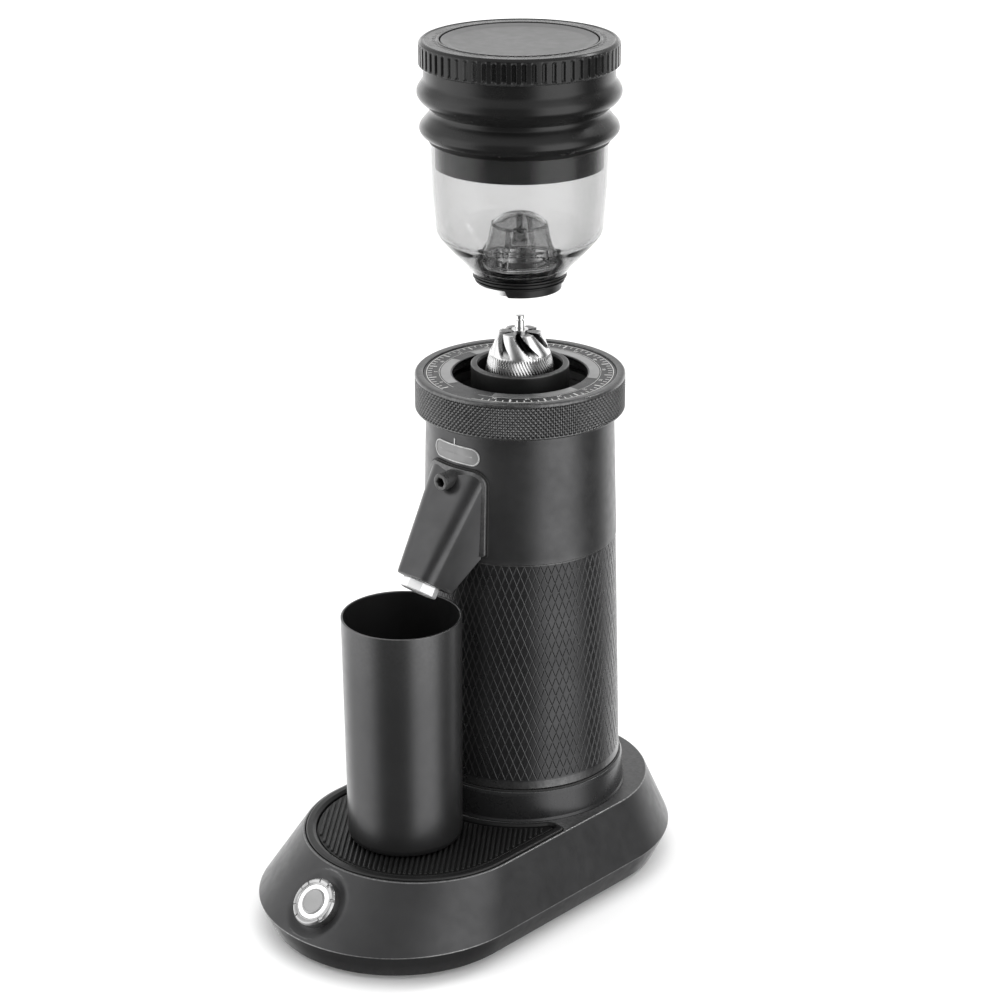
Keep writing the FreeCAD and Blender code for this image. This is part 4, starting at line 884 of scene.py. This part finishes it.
def make_badge():
    """Pill on the column's front: a sunken field in a thin border, with an index tick above it."""
    span = Span("index_badge")
    half = span.radius
    end = (span.top - span.foot) / 2
    middle = span.middle.z

    def pill(inset):
        points = []
        radius = end - inset
        for side, start in ((1, -90), (-1, 90)):
            for step in range(17):
                angle = math.radians(start + 180 * step / 16)
                points.append((side * (half - end) + radius * math.cos(angle), radius * math.sin(angle)))
        return spaced(points)

    def wrapped(points, lift):
        result = []
        for across, up in points:
            height = middle + up
            radius = upper_radius(height) + lift
            angle = across / upper_radius(middle)
            result.append((radius * math.sin(angle), -radius * math.cos(angle), height))
        return result

    shape = Shape()
    border, field = 0.85, 0.25
    path = [(0, -0.3), (0, 0.3), (0.08, 0.44), (0.25, 0.5), (0.6, 0.5), (0.75, 0.42), (border, field)]
    path += [(border + (end - border) * (1 - share), field) for share in (0.75, 0.5, 0.25, 0.02)]
    rings = [shape.ring(wrapped(pill(inset), lift), inset) for inset, lift in path]
    shape.loft(rings)
    corners = []
    for z, lift in ((end - 0.4, -0.2), (end - 0.4, 0.35), (end + 3.0, 0.35), (end + 3.0, -0.2)):
        corners += shape.ring(wrapped([(-0.32, z), (0.32, z)], lift))
    a, b, c, d, e, f, g, h = corners
    shape.faces += [(a, b, d, c), (c, d, f, e), (e, f, h, g), (g, h, b, a), (a, c, e, g), (b, h, f, d)]
    stand_for("index_badge", shape, BADGE, sharp=45)


# ---- chute and spout

TIP_FRONT, TIP_FRONT_HEIGHT = 78.0, 178.5
TIP_BACK, TIP_BACK_HEIGHT = 61.5, 166.5
CHUTE_LOW, CHUTE_TOP = 183.0, 225.0
DUCT_START, DUCT_BACK = 38.0, 43.0
CHUTE_STEPS = 24
GASKET = 0.8


def upright_loop(half, low, high, top_radius, low_radius, steps=10):
    """A rounded rectangle seen from the front, as (across, up)."""
    return softened([(-half, low, low_radius), (half, low, low_radius),
                     (half, high, top_radius), (-half, high, top_radius)], steps=steps)


def spaced(loop, edges=8):
    """The same loop with points added along its long straight sides."""
    result = []
    for first, second in zip(loop, loop[1:] + loop[:1]):
        result.append(first)
        if math.dist(first, second) > 6:
            for step in range(1, edges):
                result.append(tuple(a + (b - a) * step / edges for a, b in zip(first, second)))
    return result


def column_gap(point):
    """How far a point, taken about the column's axis, stands off the column."""
    return math.hypot(point[0], point[1]) - upper_radius(point[2]) - GASKET


def make_chute():
    tip_length = math.dist((TIP_FRONT, TIP_FRONT_HEIGHT), (TIP_BACK, TIP_BACK_HEIGHT))
    back_run = (CHUTE_LOW - TIP_BACK_HEIGHT) / (TIP_BACK - DUCT_BACK)
    root_low = CHUTE_LOW + (DUCT_BACK - DUCT_START) * back_run
    reach = upper_radius(CHUTE_TOP)
    root_high = CHUTE_TOP + (reach - DUCT_START) * (CHUTE_TOP - TIP_FRONT_HEIGHT) / (TIP_FRONT - reach)
    half = Span("chute_body").radius
    root = spaced(upright_loop(half - 0.35, root_low, root_high, 9.0, 0.8))
    tip = spaced(upright_loop(11.5, 0, tip_length, 6.0, 0.8))
    count = min(len(root), len(tip))
    tilt = math.atan2(TIP_FRONT_HEIGHT - TIP_BACK_HEIGHT, TIP_FRONT - TIP_BACK)
    lines = []
    for (across, up), (tip_across, tip_up) in zip(root[:count], tip[:count]):
        start = Vector((across, -DUCT_START, up))
        out, rise = polar(tip_up, tilt)
        end = Vector((tip_across, -TIP_BACK - out, TIP_BACK_HEIGHT + rise))
        near, far = 0.0, 1.0
        while far - near > 1e-9:
            middle = (near + far) / 2
            point = start.lerp(end, middle)
            if column_gap(point) < 0 or point.z > CHUTE_TOP:
                near = middle
            else:
                far = middle
        lines.append((start.lerp(end, far), end))
    shape = Shape()
    rings = [shape.ring([first.lerp(last, step / CHUTE_STEPS) for first, last in lines], step)
             for step in range(CHUTE_STEPS)]
    normal = Vector((0, -math.sin(tilt), -math.cos(tilt)))
    centre = Vector((0, -(TIP_FRONT + TIP_BACK) / 2, (TIP_FRONT_HEIGHT + TIP_BACK_HEIGHT) / 2))
    for shrink, lift in ((1.0, -0.8), (0.995, -0.3), (0.975, -0.05), (0.94, 0.0), (0.6, 0.0)):
        rings.append(shape.ring([centre + (last - centre) * shrink + normal * lift for _, last in lines]))
    shape.loft(rings)

    def flange_ring(grow, lift):
        loop = upright_loop(half + grow, CHUTE_LOW - 0.2 - grow, CHUTE_TOP + 0.3 + grow, 7.0 + grow, 1.5)
        ring = []
        for across, up in spaced(loop, 16):
            radius = upper_radius(up) + lift
            ring.append((across, -math.sqrt(radius * radius - across * across), up))
        return ring

    def plate(layers):
        """A curved plate on the column, with a hole, through the (grow, lift) layers."""
        made = Shape()
        made.skin([made.ring(flange_ring(grow, lift)) for grow, lift in layers], closed=True)
        return made

    shape.add(plate([(-9, GASKET), (0, GASKET), (0, 1.5), (-0.12, 1.75), (-0.4, 1.85), (-9, 1.9)]))
    stand_for("chute_body", shape, SATIN, sharp=34)
    stand_for("chute_gasket", plate([(-5, 0.02), (0.7, 0.02), (0.7, GASKET - 0.12), (0.5, GASKET - 0.02),
                                     (-5, GASKET - 0.02)]), RUBBER)

    screw = Span("chute_screw")
    face = COLUMN.y - screw.low.y
    place = facing(Vector((0, COLUMN.y, screw.middle.z)), Vector((0, -1, 0)))
    stand_for("chute_screw", socket_screw(face, screw.radius, 2.5), BLACK_STEEL, place=place)

    wide = Span("spout_insert").radius
    spout = softened([
        (7.2, -6.5), (wide, -6.5), (wide, -0.6, 0.1), (wide - 0.5, -0.4, 0.1), (wide - 0.5, 0.2, 0.1),
        (wide, 0.5, 0.2), (wide, 4.7, 0.3), (wide - 0.6, 5.2, 0.2), (7.8, 5.2, 0.2), (7.2, 4.7)])

    def faceted(radius, angle, height):
        if radius < 8:
            return radius, angle, height
        return flattened(radius, angle, 8), angle, height

    stand_for("spout_insert", lathe(spout, 128, faceted), SPOUT_STEEL,
              place=facing(Vector((0, COLUMN.y, 0)) + centre, normal, Vector((0, -1, 0))), sharp=22)


def flattened(radius, angle, sides):
    """The distance out to a flat of a polygon whose corners are at the radius."""
    sector = TURN / sides
    return radius * math.cos(sector / 2) / math.cos(angle % sector - sector / 2)


def socket_screw(face, radius, socket):
    """A cap screw's head with a six-sided socket, along local z."""
    shape = Shape()
    angles = [TURN * step / 96 for step in range(96)]
    rings = []
    for size, height in lifted(face, [
        (radius, -8.5), (radius, -0.6), (radius - 0.2, -0.2), (radius - 0.6, 0), (socket * 1.15, 0),
    ]):
        rings.append(shape.ring([polar(size, angle, height) for angle in angles], height))
    hexagon = [(flattened(socket, angle, 6), angle) for angle in angles]
    for height in (face - 0.3, face - 4.2):
        rings.append(shape.ring([polar(size, angle, height) for size, angle in hexagon], height))
    rings.append(shape.ring([(0, 0, face - 4.8)]))
    shape.skin(rings)
    shape.cap(rings[0])
    return shape


# ---- ring, dial, carrier and burr


def make_ring():
    span = Span("adjust_ring")
    low, top = span.foot, span.top
    radius = span.radius
    knurl_low, knurl_high = low + 1.1, top - 1.6

    def pyramid(edge):
        return -0.5 * (1 - smoothstep(0.0, 0.7, edge))

    shares = (0, 0.18, 0.36, 0.64, 0.82, 1)
    wall = diamonds(136, 6, knurl_low, knurl_high, lambda height: radius, pyramid, shares, 0.3)
    above = extended(wall, knurl_high, lifted(top, [
        (radius, -1.1), (radius - 0.15, -0.6), (radius - 0.6, -0.1), (radius - 1.1, 0), (47.4, 0),
        (47.0, -0.15), (46.8, -0.5), (46.8, -1.9), (34.0, -1.9), (34.0, -5.3), (41.0, -5.3)]))
    below = extended(wall, knurl_low, lifted(low, [
        (radius, 0.8), (radius - 0.3, 0.2), (radius - 0.8, 0), (41.0, 0)]))
    bmesh.ops.bridge_loops(wall, edges=below + above)
    stand_for("adjust_ring", wall, RING, sharp=46)

    dial = Span("dial_plate")
    face = dial.top
    plate = softened([(32.8, dial.foot), (46.7, dial.foot), (46.7, face, 0.2), (32.8, face, 0.4)])
    stand_for("dial_plate", lathe(plate, 192), DIAL)

    marks = Shape()

    def arc_band(inner, outer, start, stop, steps):
        """A thin raised arc between two bearings in degrees, clockwise from the front."""
        band = Shape()
        section = lifted(face, [(inner, -0.1), (outer, -0.1), (outer, 0.06), (inner, 0.06)])
        rings = []
        for step in range(steps + 1):
            angle = math.radians(start + (stop - start) * step / steps)
            way = (-math.sin(angle), -math.cos(angle))
            rings.append(band.ring([(way[0] * size, way[1] * size, height) for size, height in section]))
        band.loft(rings)
        return band

    marks.add(arc_band(45.0, 45.35, 12, 348, 180))
    marks.add(arc_band(39.0, 39.2, 12, 348, 120))
    scale_start, scale_sweep, ticks, numbers = 14, 332, 75, 15
    for index in range(ticks):
        turn = scale_start + index * scale_sweep / ticks
        inner, half = (42.6, 0.32) if index % 5 else (41.0, 0.55)
        marks.add(arc_band(inner, 44.6, turn - half, turn + half, 1))
    for index in range(numbers):
        turn = math.radians(scale_start + (index + 0.5) * scale_sweep / numbers)
        digits = number_shape(str(index * 5), 2.4)
        way = Vector((-math.sin(turn), -math.cos(turn)))
        across = Vector((-way.y, way.x))

        def on_dial(point, way=way, across=across):
            flat = way * (40.8 - point[1]) + across * point[0]
            return (flat.x, flat.y, face - 0.05 + point[2])

        marks.add(digits, on_dial)
    build("dial_marks", marks, PRINT, node="dial_plate", place=on_column, sharp=50)

    # Silver arcs on the dial; the short arc from 98 to 128 degrees is a painted highlight, a bright strip where
    # the dial catches light.
    band = Shape()
    for start, stop in ((20, 78), (98, 128), (144, 244), (272, 338)):
        band.add(arc_band(33.6, 38.4, start, stop, 40))
    build("dial_band_and_highlight", band, SILVER_AND_HIGHLIGHT, node="dial_plate", place=on_column, sharp=50)


def number_shape(text, size):
    """Plain digits as a thin solid, centred on the origin."""
    letters = bpy.data.curves.new("digits", "FONT")
    letters.body = text
    letters.size = size
    letters.align_x = "CENTER"
    letters.align_y = "CENTER"
    letters.extrude = 0.1
    letters.resolution_u = 3
    holder = bpy.data.objects.new("digits", letters)
    bpy.context.scene.collection.objects.link(holder)
    bpy.context.view_layer.update()
    mesh = bpy.data.meshes.new_from_object(holder.evaluated_get(bpy.context.evaluated_depsgraph_get()))
    shape = Shape()
    shape.ring([tuple(vertex.co) for vertex in mesh.vertices])
    shape.faces = [tuple(polygon.vertices) for polygon in mesh.polygons]
    bpy.data.objects.remove(holder)
    bpy.data.curves.remove(letters)
    bpy.data.meshes.remove(mesh)
    return shape


def make_carrier():
    span = Span("burr_carrier")
    low, top = span.foot, span.top
    outline = softened([
        (20.4, low), (37, low), (37, low + 4, 0.5), (23.8, low + 4, 0.8), (23.8, top - 2.2),
        (23.8, top, 0.7), (21.0, top, 0.5), (20.4, top - 1.2, 0.4),
    ])
    stand_for("burr_carrier", lathe(outline, 160), CARRIER)


def make_burr():
    """Conical burr: fine slanted teeth round its skirt and six tall twisted blades above."""
    span = Span("inner_burr")
    low, tip = span.foot, span.top
    skirt, blade_low = low + 9, low + 17
    wide, blade_radius, tip_radius = span.radius, 14.9, 10.1
    teeth, blades = 66, 6

    def radius_at(height):
        if height < skirt:
            return wide
        if height < blade_low:
            return wide + (blade_radius - wide) * (height - skirt) / (blade_low - skirt)
        return blade_radius + (tip_radius - blade_radius) * (height - blade_low) / (tip - blade_low)

    def cutter(radius, angle, height):
        if radius < 7:
            return radius, angle, height
        fine = (angle * teeth / TURN + 0.30 * (height - skirt)) % 1
        tooth = 0.55 * fine * (1 - smoothstep(blade_low - 0.6, blade_low + 0.4, height))
        turn = (angle * blades / TURN + 0.068 * (height - blade_low)) % 1
        hollow = smoothstep(0.60, 0.70, turn) * (1 - smoothstep(0.94, 1.0, turn))
        crown = 0.55 * math.sin(math.pi * min(1.0, turn / 0.66)) - 0.3
        above = smoothstep(blade_low - 0.4, blade_low + 1.5, height)
        depth = 0.5 + 5.6 * smoothstep(blade_low, tip, height) ** 0.8
        share = radius / radius_at(height)
        cut = tooth + above * (depth * hollow - crown * (1 - hollow))
        return max(4.4, radius - share * cut), angle, height

    def hollow(point):
        """How much painted shade a point gets: between the blades, on the burr's top and at a fine tooth's root.
        """
        reach = math.hypot(point[0], point[1])
        if point[2] > tip - 0.01 and reach < tip_radius - 0.8:
            return 0.8
        sunk = radius_at(point[2]) - reach
        return smoothstep(0.8, 2.4, sunk) if point[2] > blade_low else 0.75 * smoothstep(0.2, 0.5, sunk)

    heights = [low, low + 0.4] + [low + 1 + (blade_low - low - 1) * step / 16 for step in range(17)]
    heights += [blade_low + (tip - blade_low) * step / 30 for step in range(1, 31)]
    profile = [(4.05, low)] + [(radius_at(height), height) for height in heights]
    profile += [(tip_radius - 0.4, tip), (8.5, tip), (6.0, tip), (4.05, tip)]
    shape = lathe(profile, 528, cutter)
    # Here the along attribute carries the painted shade of the burr's hollows and top.
    shape.along = [hollow(point) for point in shape.points]
    stand_for("inner_burr", shape, BURR_STEEL, sharp=30)

    shaft = Span("drive_shaft")
    pin = [(0, shaft.foot), (4, shaft.foot)] + softened(
        [(4, tip + 1), (4, tip + 1.2, 0.2), (2.4, tip + 1.2)]
        + lifted(shaft.top, [(2.4, -2.7, 0.2), (1.7, -2.5, 0.1), (1.7, -1.9, 0.1), (2.4, -1.7, 0.2),
                                (2.4, 0, 0.5), (0, 0)]), closed=False)
    stand_for("drive_shaft", lathe(pin, 48), STEEL)


# ---- hopper


def make_hopper():
    neck = Span("hopper_neck")
    jar = Span("hopper_jar")
    low, top = neck.foot, neck.top
    seat = low + 3.7
    flange = neck.radius
    grooves = [(-1.2, 0, 0.3), (-0.9, 1.0, 0.2), (-1.9, 1.3, 0.2), (-1.9, 1.9, 0.2), (-0.1, 2.2, 0.3),
               (-0.1, 3.0, 0.3), (-1.1, 3.2, 0.15), (-1.1, 3.5, 0.15), (0, 3.7, 0.2)]
    outline = softened(
        [(18.9, low), (20.0, low, 0.4), (20.0, seat)]
        + [(flange + out, seat + up, radius) for out, up, radius in grooves]
        + [(flange, jar.foot - 0.05, 0.2), (flange - 1.9, jar.foot - 0.05), (flange - 1.9, top, 0.3),
           (18.9, top, 0.3)])

    def lugged(radius, angle, height):
        """Below the flange only two lugs are left, a wide one at the right and a narrower one at the left."""
        turn = math.degrees(angle) % 360
        right = smoothstep(290, 296, turn) + 1 - smoothstep(64, 70, turn)
        left = smoothstep(150, 156, turn) * (1 - smoothstep(204, 210, turn))
        lug = min(1.0, right + left)
        return radius, angle, height if height >= seat else seat - (seat - height) * lug

    stand_for("hopper_neck", lathe(outline, 180, lugged), PLASTIC)

    wall = jar.radius
    base = jar.foot
    outside = curved(lifted(base, [
        (flange - 1.7, 0), (flange + 0.3, 0.5), (flange + 1.6, 2.2), (32.7, 11.2), (37.6, 17.0),
        (39.7, 20.8), (wall - 1.5, 28), (wall - 0.6, 40), (wall, 56)]) + [(wall, jar.top)], 8)
    inside = curved([(wall - 1.8, jar.top)] + lifted(base, [
        (wall - 1.8, 56), (wall - 2.4, 40), (wall - 3.3, 28), (38.0, 21.6), (36.0, 18.0), (31.4, 13.1),
        (flange + 0.2, 4.0), (flange - 1.7, 3.0)]), 8)
    stand_for("hopper_jar", lathe(outside + inside, 192), CLEAR, sharp=60)



def make_guard():
    """Smoked cap on a thin skirt with four ribs, and a hollow post that the burr's pin runs up into."""
    span = Span("popcorn_guard")
    foot, rim = span.foot, span.top - 5.6
    foot_ring = lifted(foot, [(15.6, 0), (18.9, 0), (18.9, 1.6, 0.5), (15.6, 1.6, 0.4)])
    shape = lathe(softened(foot_ring), 128)
    line = [(17.9, foot + 1.4), (16.6, foot + 4.5), (12.7, rim)]
    shape.add(lathe(line + [(radius - 0.7, height) for radius, height in reversed(line)], 128))
    cap = curved(lifted(rim, [
        (13.1, -0.9), (13.4, -0.2), (12.7, 0.8), (9.4, 3.5), (4.8, 5.2), (0.0, 5.6)]), 5)
    under = lifted(rim, [(11.9, -0.9), (11.6, -0.1), (8.7, 2.2), (4.6, 3.8), (0.0, 4.2)])
    shape.add(lathe(cap[::-1] + under, 128))
    rib = Shape()
    section = ((0, -1.4), (0.9, -1.1), (0.9, 1.1), (0, 1.4), (-0.6, 0))
    spine = (18.5, foot + 1.0), (17.2, foot + 4.5), (15.0, (foot + rim) / 2), (13.2, rim)
    rib.loft([rib.ring([(radius + out, side, height) for out, side in section]) for radius, height in spine])
    for index in range(4):
        shape.add(rib, spun(math.radians(20 + 90 * index)))
    shape.add(lathe(softened(
        lifted(foot, [(2.75, 8.4, 0.2), (3.9, 8.4, 0.3), (3.9, 10.8, 0.3), (3.3, 11.0, 0.2), (3.3, 15.4, 0.4),
                      (1.7, 15.8, 0.2)])
        + lifted(rim, [(1.7, 4.0), (0.8, 4.0)])
        + lifted(foot, [(0.8, 15.2), (2.75, 15.0)])), 48))
    stand_for("popcorn_guard", shape, SMOKED, sharp=50)


def make_band():
    band = Span("hopper_band")
    rest = Span("hopper_jar").top       # the jar's rim, which the band sits on
    outline = softened([
        (37, band.foot, 0.3), (39.75, band.foot, 0.3), (39.75, rest + 0.03), (42.4, rest + 0.03),
        (42.8, rest + 0.4, 0.2), (42.8, band.top), (37, band.top)])
    stand_for("hopper_band", lathe(outline, 160), BAND)


def make_bellows():
    span = Span("bellows")
    low = span.foot
    crest = span.radius
    outside = curved(lifted(low, [
        (43.4, 0), (45.4, 1.2), (46.8, 3.2), (46.9, 4.7), (46.3, 6.2), (45.0, 7.8), (43.4, 9.6),
        (41.9, 11.3), (41.5, 12.6), (41.9, 13.8), (44.0, 15.5), (46.2, 17.4), (crest - 0.5, 19.4),
        (crest - 0.1, 21.2), (crest - 0.4, 23.0), (46.5, 25.0), (45.3, 26.8), (44.9, 28.4),
    ]) + [(44.9, span.top)], 4)
    inside = [(radius - 1.6, height) for radius, height in reversed(outside)]
    piece = stand_for("bellows", lathe(outside + inside, 192), SILICONE, sharp=60)
    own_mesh(piece)


def make_lid():
    """Screw-on lid with upright grip ribs, a raised rim and a sunken matte disc."""
    cap = Span("lid_cap")
    disc = Span("lid_disc")
    low, top = cap.foot, cap.top
    radius = cap.radius
    ribs = 64
    rib_low, rib_high = low + 1.6, top - 2.4

    def ribbed(size, angle, height):
        if size < radius - 2:
            return size, angle, height
        wave = abs(((angle * ribs / TURN) % 1) - 0.5) * 2
        groove = smoothstep(0.50, 0.78, wave)
        fade = smoothstep(rib_low - 0.9, rib_low + 0.5, height)
        fade *= 1 - smoothstep(rib_high - 0.4, rib_high + 0.8, height)
        return size - groove * fade, angle, height

    upright = [(radius, low + 0.9 + (top - 2.2 - low - 0.9) * step / 20) for step in range(21)]
    crown = softened(lifted(top, [
        (radius, -2.2), (radius - 0.2, -1.2, 0.8), (radius - 1.4, -0.1, 0.9), (radius - 2.4, -0.1, 0.3),
        (radius - 2.8, -0.35, 0.2), (38.6, -0.35, 0.2), (38.2, -0.05, 0.2), (37.3, -0.05, 0.3),
        (37.0, -2.6), (0, -2.6)]), closed=False)
    chain = [(0, top - 5), (41, top - 5), (41, low), (radius - 0.9, low)] + upright + crown[1:]
    stand_for("lid_cap", lathe(chain, 768, ribbed), LID_PLASTIC, sharp=36)
    face = [(0, disc.foot), (disc.radius, disc.foot)] + lifted(disc.top, [
        (disc.radius, 0.8, 0.3), (disc.radius - 0.6, 0.8, 0.3), (32.6, -0.2, 3.0), (0, -0.2)])
    stand_for("lid_disc", lathe(softened(face, closed=False), 160), LID_FACE)

    dashes = Shape()
    count = 72
    for index in range(count):
        inset, half = (0, 0.6) if index % 6 else (0.4, 0.28)
        dash = block((38.9 + inset, -half, top - 0.45), (40.4 - inset, half, top - 0.28))
        dashes.add(dash, spun(TURN * index / count))
    build("lid_dashes", dashes, LID_MARKS, node="lid_cap", slot="lid_print", place=on_column)


def make_cup():
    span = Span("dosing_cup")
    floor, top = span.foot, span.top
    outer, inner = span.radius, span.radius - 1.1
    outline = [(0, floor + 0.3)] + softened(
        lifted(floor, [(22.0, 0.3), (22.6, 0, 0.3), (24.8, 0, 0.3), (27.2, 0.9, 0.8), (28.0, 3.2, 2.4)])
        + [(outer, top, 0.35), (inner, top, 0.45), (inner - 0.05, top - 1.5, 0.3)]
        + lifted(floor, [(26.9, 4, 1.8), (24.9, 1.6, 1.0), (0, 1.6)]), closed=False)
    stand_for("dosing_cup", lathe(outline, 192), CUP_BLACK, place=on_cup)


# ---- studio


def make_floor():
    material = bpy.data.materials.new("floor_white")
    material.use_nodes = True
    shader = material.node_tree.nodes["Principled BSDF"]
    shader.inputs["Base Color"].default_value = (0.88, 0.88, 0.88, 1)
    shader.inputs["Roughness"].default_value = 0.8
    reach = 14
    corners = [(-reach, -reach, 0), (reach, -reach, 0), (reach, reach, 0), (-reach, reach, 0)]
    mesh = bpy.data.meshes.new("floor")
    mesh.from_pydata(corners, [], [(0, 1, 2, 3)])
    mesh.materials.append(material)
    floor = bpy.data.objects.new("floor", mesh)
    bpy.context.scene.collection.objects.link(floor)
    floor.visible_glossy = False
    floor.visible_shadow = False


# Soft upright light panels, as (bearing, half width, soft edge) in degrees, brightness, share higher up.
PANELS = (0, 13, 26, 2.3, 1.0), (-130, 12, 34, 1.9, 1.0), (133, 48, 30, 1.7, 0.5)
SPARK_BEARING, SPARK_HEIGHT, SPARK_BRIGHTNESS = 72, 45, 12
SPARK_EDGE = 3, 8
AMBIENT, ZENITH, NADIR = 0.13, 0.7, 0.05
# Where the sky changes with height, as the sine of the angle above the horizon.
PANEL_SHOULDER, ZENITH_EDGE, NADIR_EDGE = (0.12, 0.28), (0.45, 0.95), (-0.85, -0.45)


def make_sky():
    world = bpy.data.worlds.new("studio")
    world.use_nodes = True
    tree = Nodes(world.node_tree)
    maths = tree.maths

    def eased(source, start, stop, low, high):
        return tree.spread(source, low, high, start, stop, interpolation_type="SMOOTHSTEP")

    def angle_from(source, direction):
        """The angle between a way out to the sky and a direction."""
        dot = tree.add("VectorMath", operation="DOT_PRODUCT")
        dot.inputs[1].default_value = direction
        tree.link(source, dot.inputs[0])
        return maths("ARCCOSINE", maths("MINIMUM", dot.outputs["Value"], 0.99999), 0.0)

    def blended(share, first, second):
        return maths("ADD", maths("MULTIPLY", first, maths("SUBTRACT", 1.0, share)),
                     maths("MULTIPLY", share, second))

    way = tree.add("TexCoord").outputs["Generated"]
    flat = tree.add("VectorMath", operation="MULTIPLY")
    flat.inputs[1].default_value = (1, 1, 0)
    tree.link(way, flat.inputs[0])
    level = tree.add("VectorMath", operation="NORMALIZE")
    tree.link(flat.outputs["Vector"], level.inputs[0])
    split = tree.add("SeparateXYZ")
    tree.link(way, split.inputs["Vector"])
    height = split.outputs["Z"]
    total = AMBIENT
    for bearing, half, edge, brightness, above in PANELS:
        off = angle_from(level.outputs["Vector"], polar(1, math.radians(bearing), 0))
        panel = eased(off, math.radians(half), math.radians(half + edge), brightness, 0)
        total = maths("ADD", maths("MULTIPLY", panel, eased(height, *PANEL_SHOULDER, 1, above)), total)
    total = blended(eased(height, *ZENITH_EDGE, 0, 1), total, ZENITH)
    total = blended(eased(height, *NADIR_EDGE, 1, 0), total, NADIR)
    out, up = polar(1, math.radians(SPARK_HEIGHT))
    off = angle_from(way, polar(out, math.radians(SPARK_BEARING), up))
    start, stop = map(math.radians, SPARK_EDGE)
    total = maths("ADD", total, eased(off, start, stop, SPARK_BRIGHTNESS, 0))
    sky = tree.nodes["Background"]
    tree.link(total, sky.inputs["Strength"])
    sky.inputs["Color"].default_value = (1, 1, 1, 1)
    bpy.context.scene.world = world


def make_studio():
    make_floor()
    make_sky()
    lamp = bpy.data.lights.new("overhead", "SUN")
    lamp.energy = 2.0
    lamp.angle = math.radians(70)
    overhead = bpy.data.objects.new("overhead", lamp)
    overhead.visible_glossy = False
    overhead.location = (0, 0, 2)
    bpy.context.scene.collection.objects.link(overhead)
    bpy.context.scene.view_settings.view_transform = "Standard"


def make_camera():
    """The camera looks down from the front right; the numbers are metres in the frame."""
    data = bpy.data.cameras.new("camera")
    data.lens = 97.08
    data.sensor_width = 36
    camera = bpy.data.objects.new("camera", data)
    right = Vector((0.73384, 0.67931, -0.00451))
    up = Vector((-0.24734, 0.27337, 0.92957))
    back = right.cross(up).normalized()
    turn = Matrix((right.normalized(), up.normalized(), back)).transposed().to_4x4()
    camera.matrix_world = Matrix.Translation((0.83283, -0.87190, 0.68384)) @ turn
    bpy.context.scene.collection.objects.link(camera)
    bpy.context.scene.camera = camera


dress_inside()
make_base()
make_tray()
make_mat()
make_switch()
make_inlet()
make_feet()
make_column()
make_badge()
make_chute()
make_ring()
make_carrier()
make_burr()
make_hopper()
make_guard()
make_band()
make_bellows()
make_lid()
make_cup()
make_studio()
make_camera()
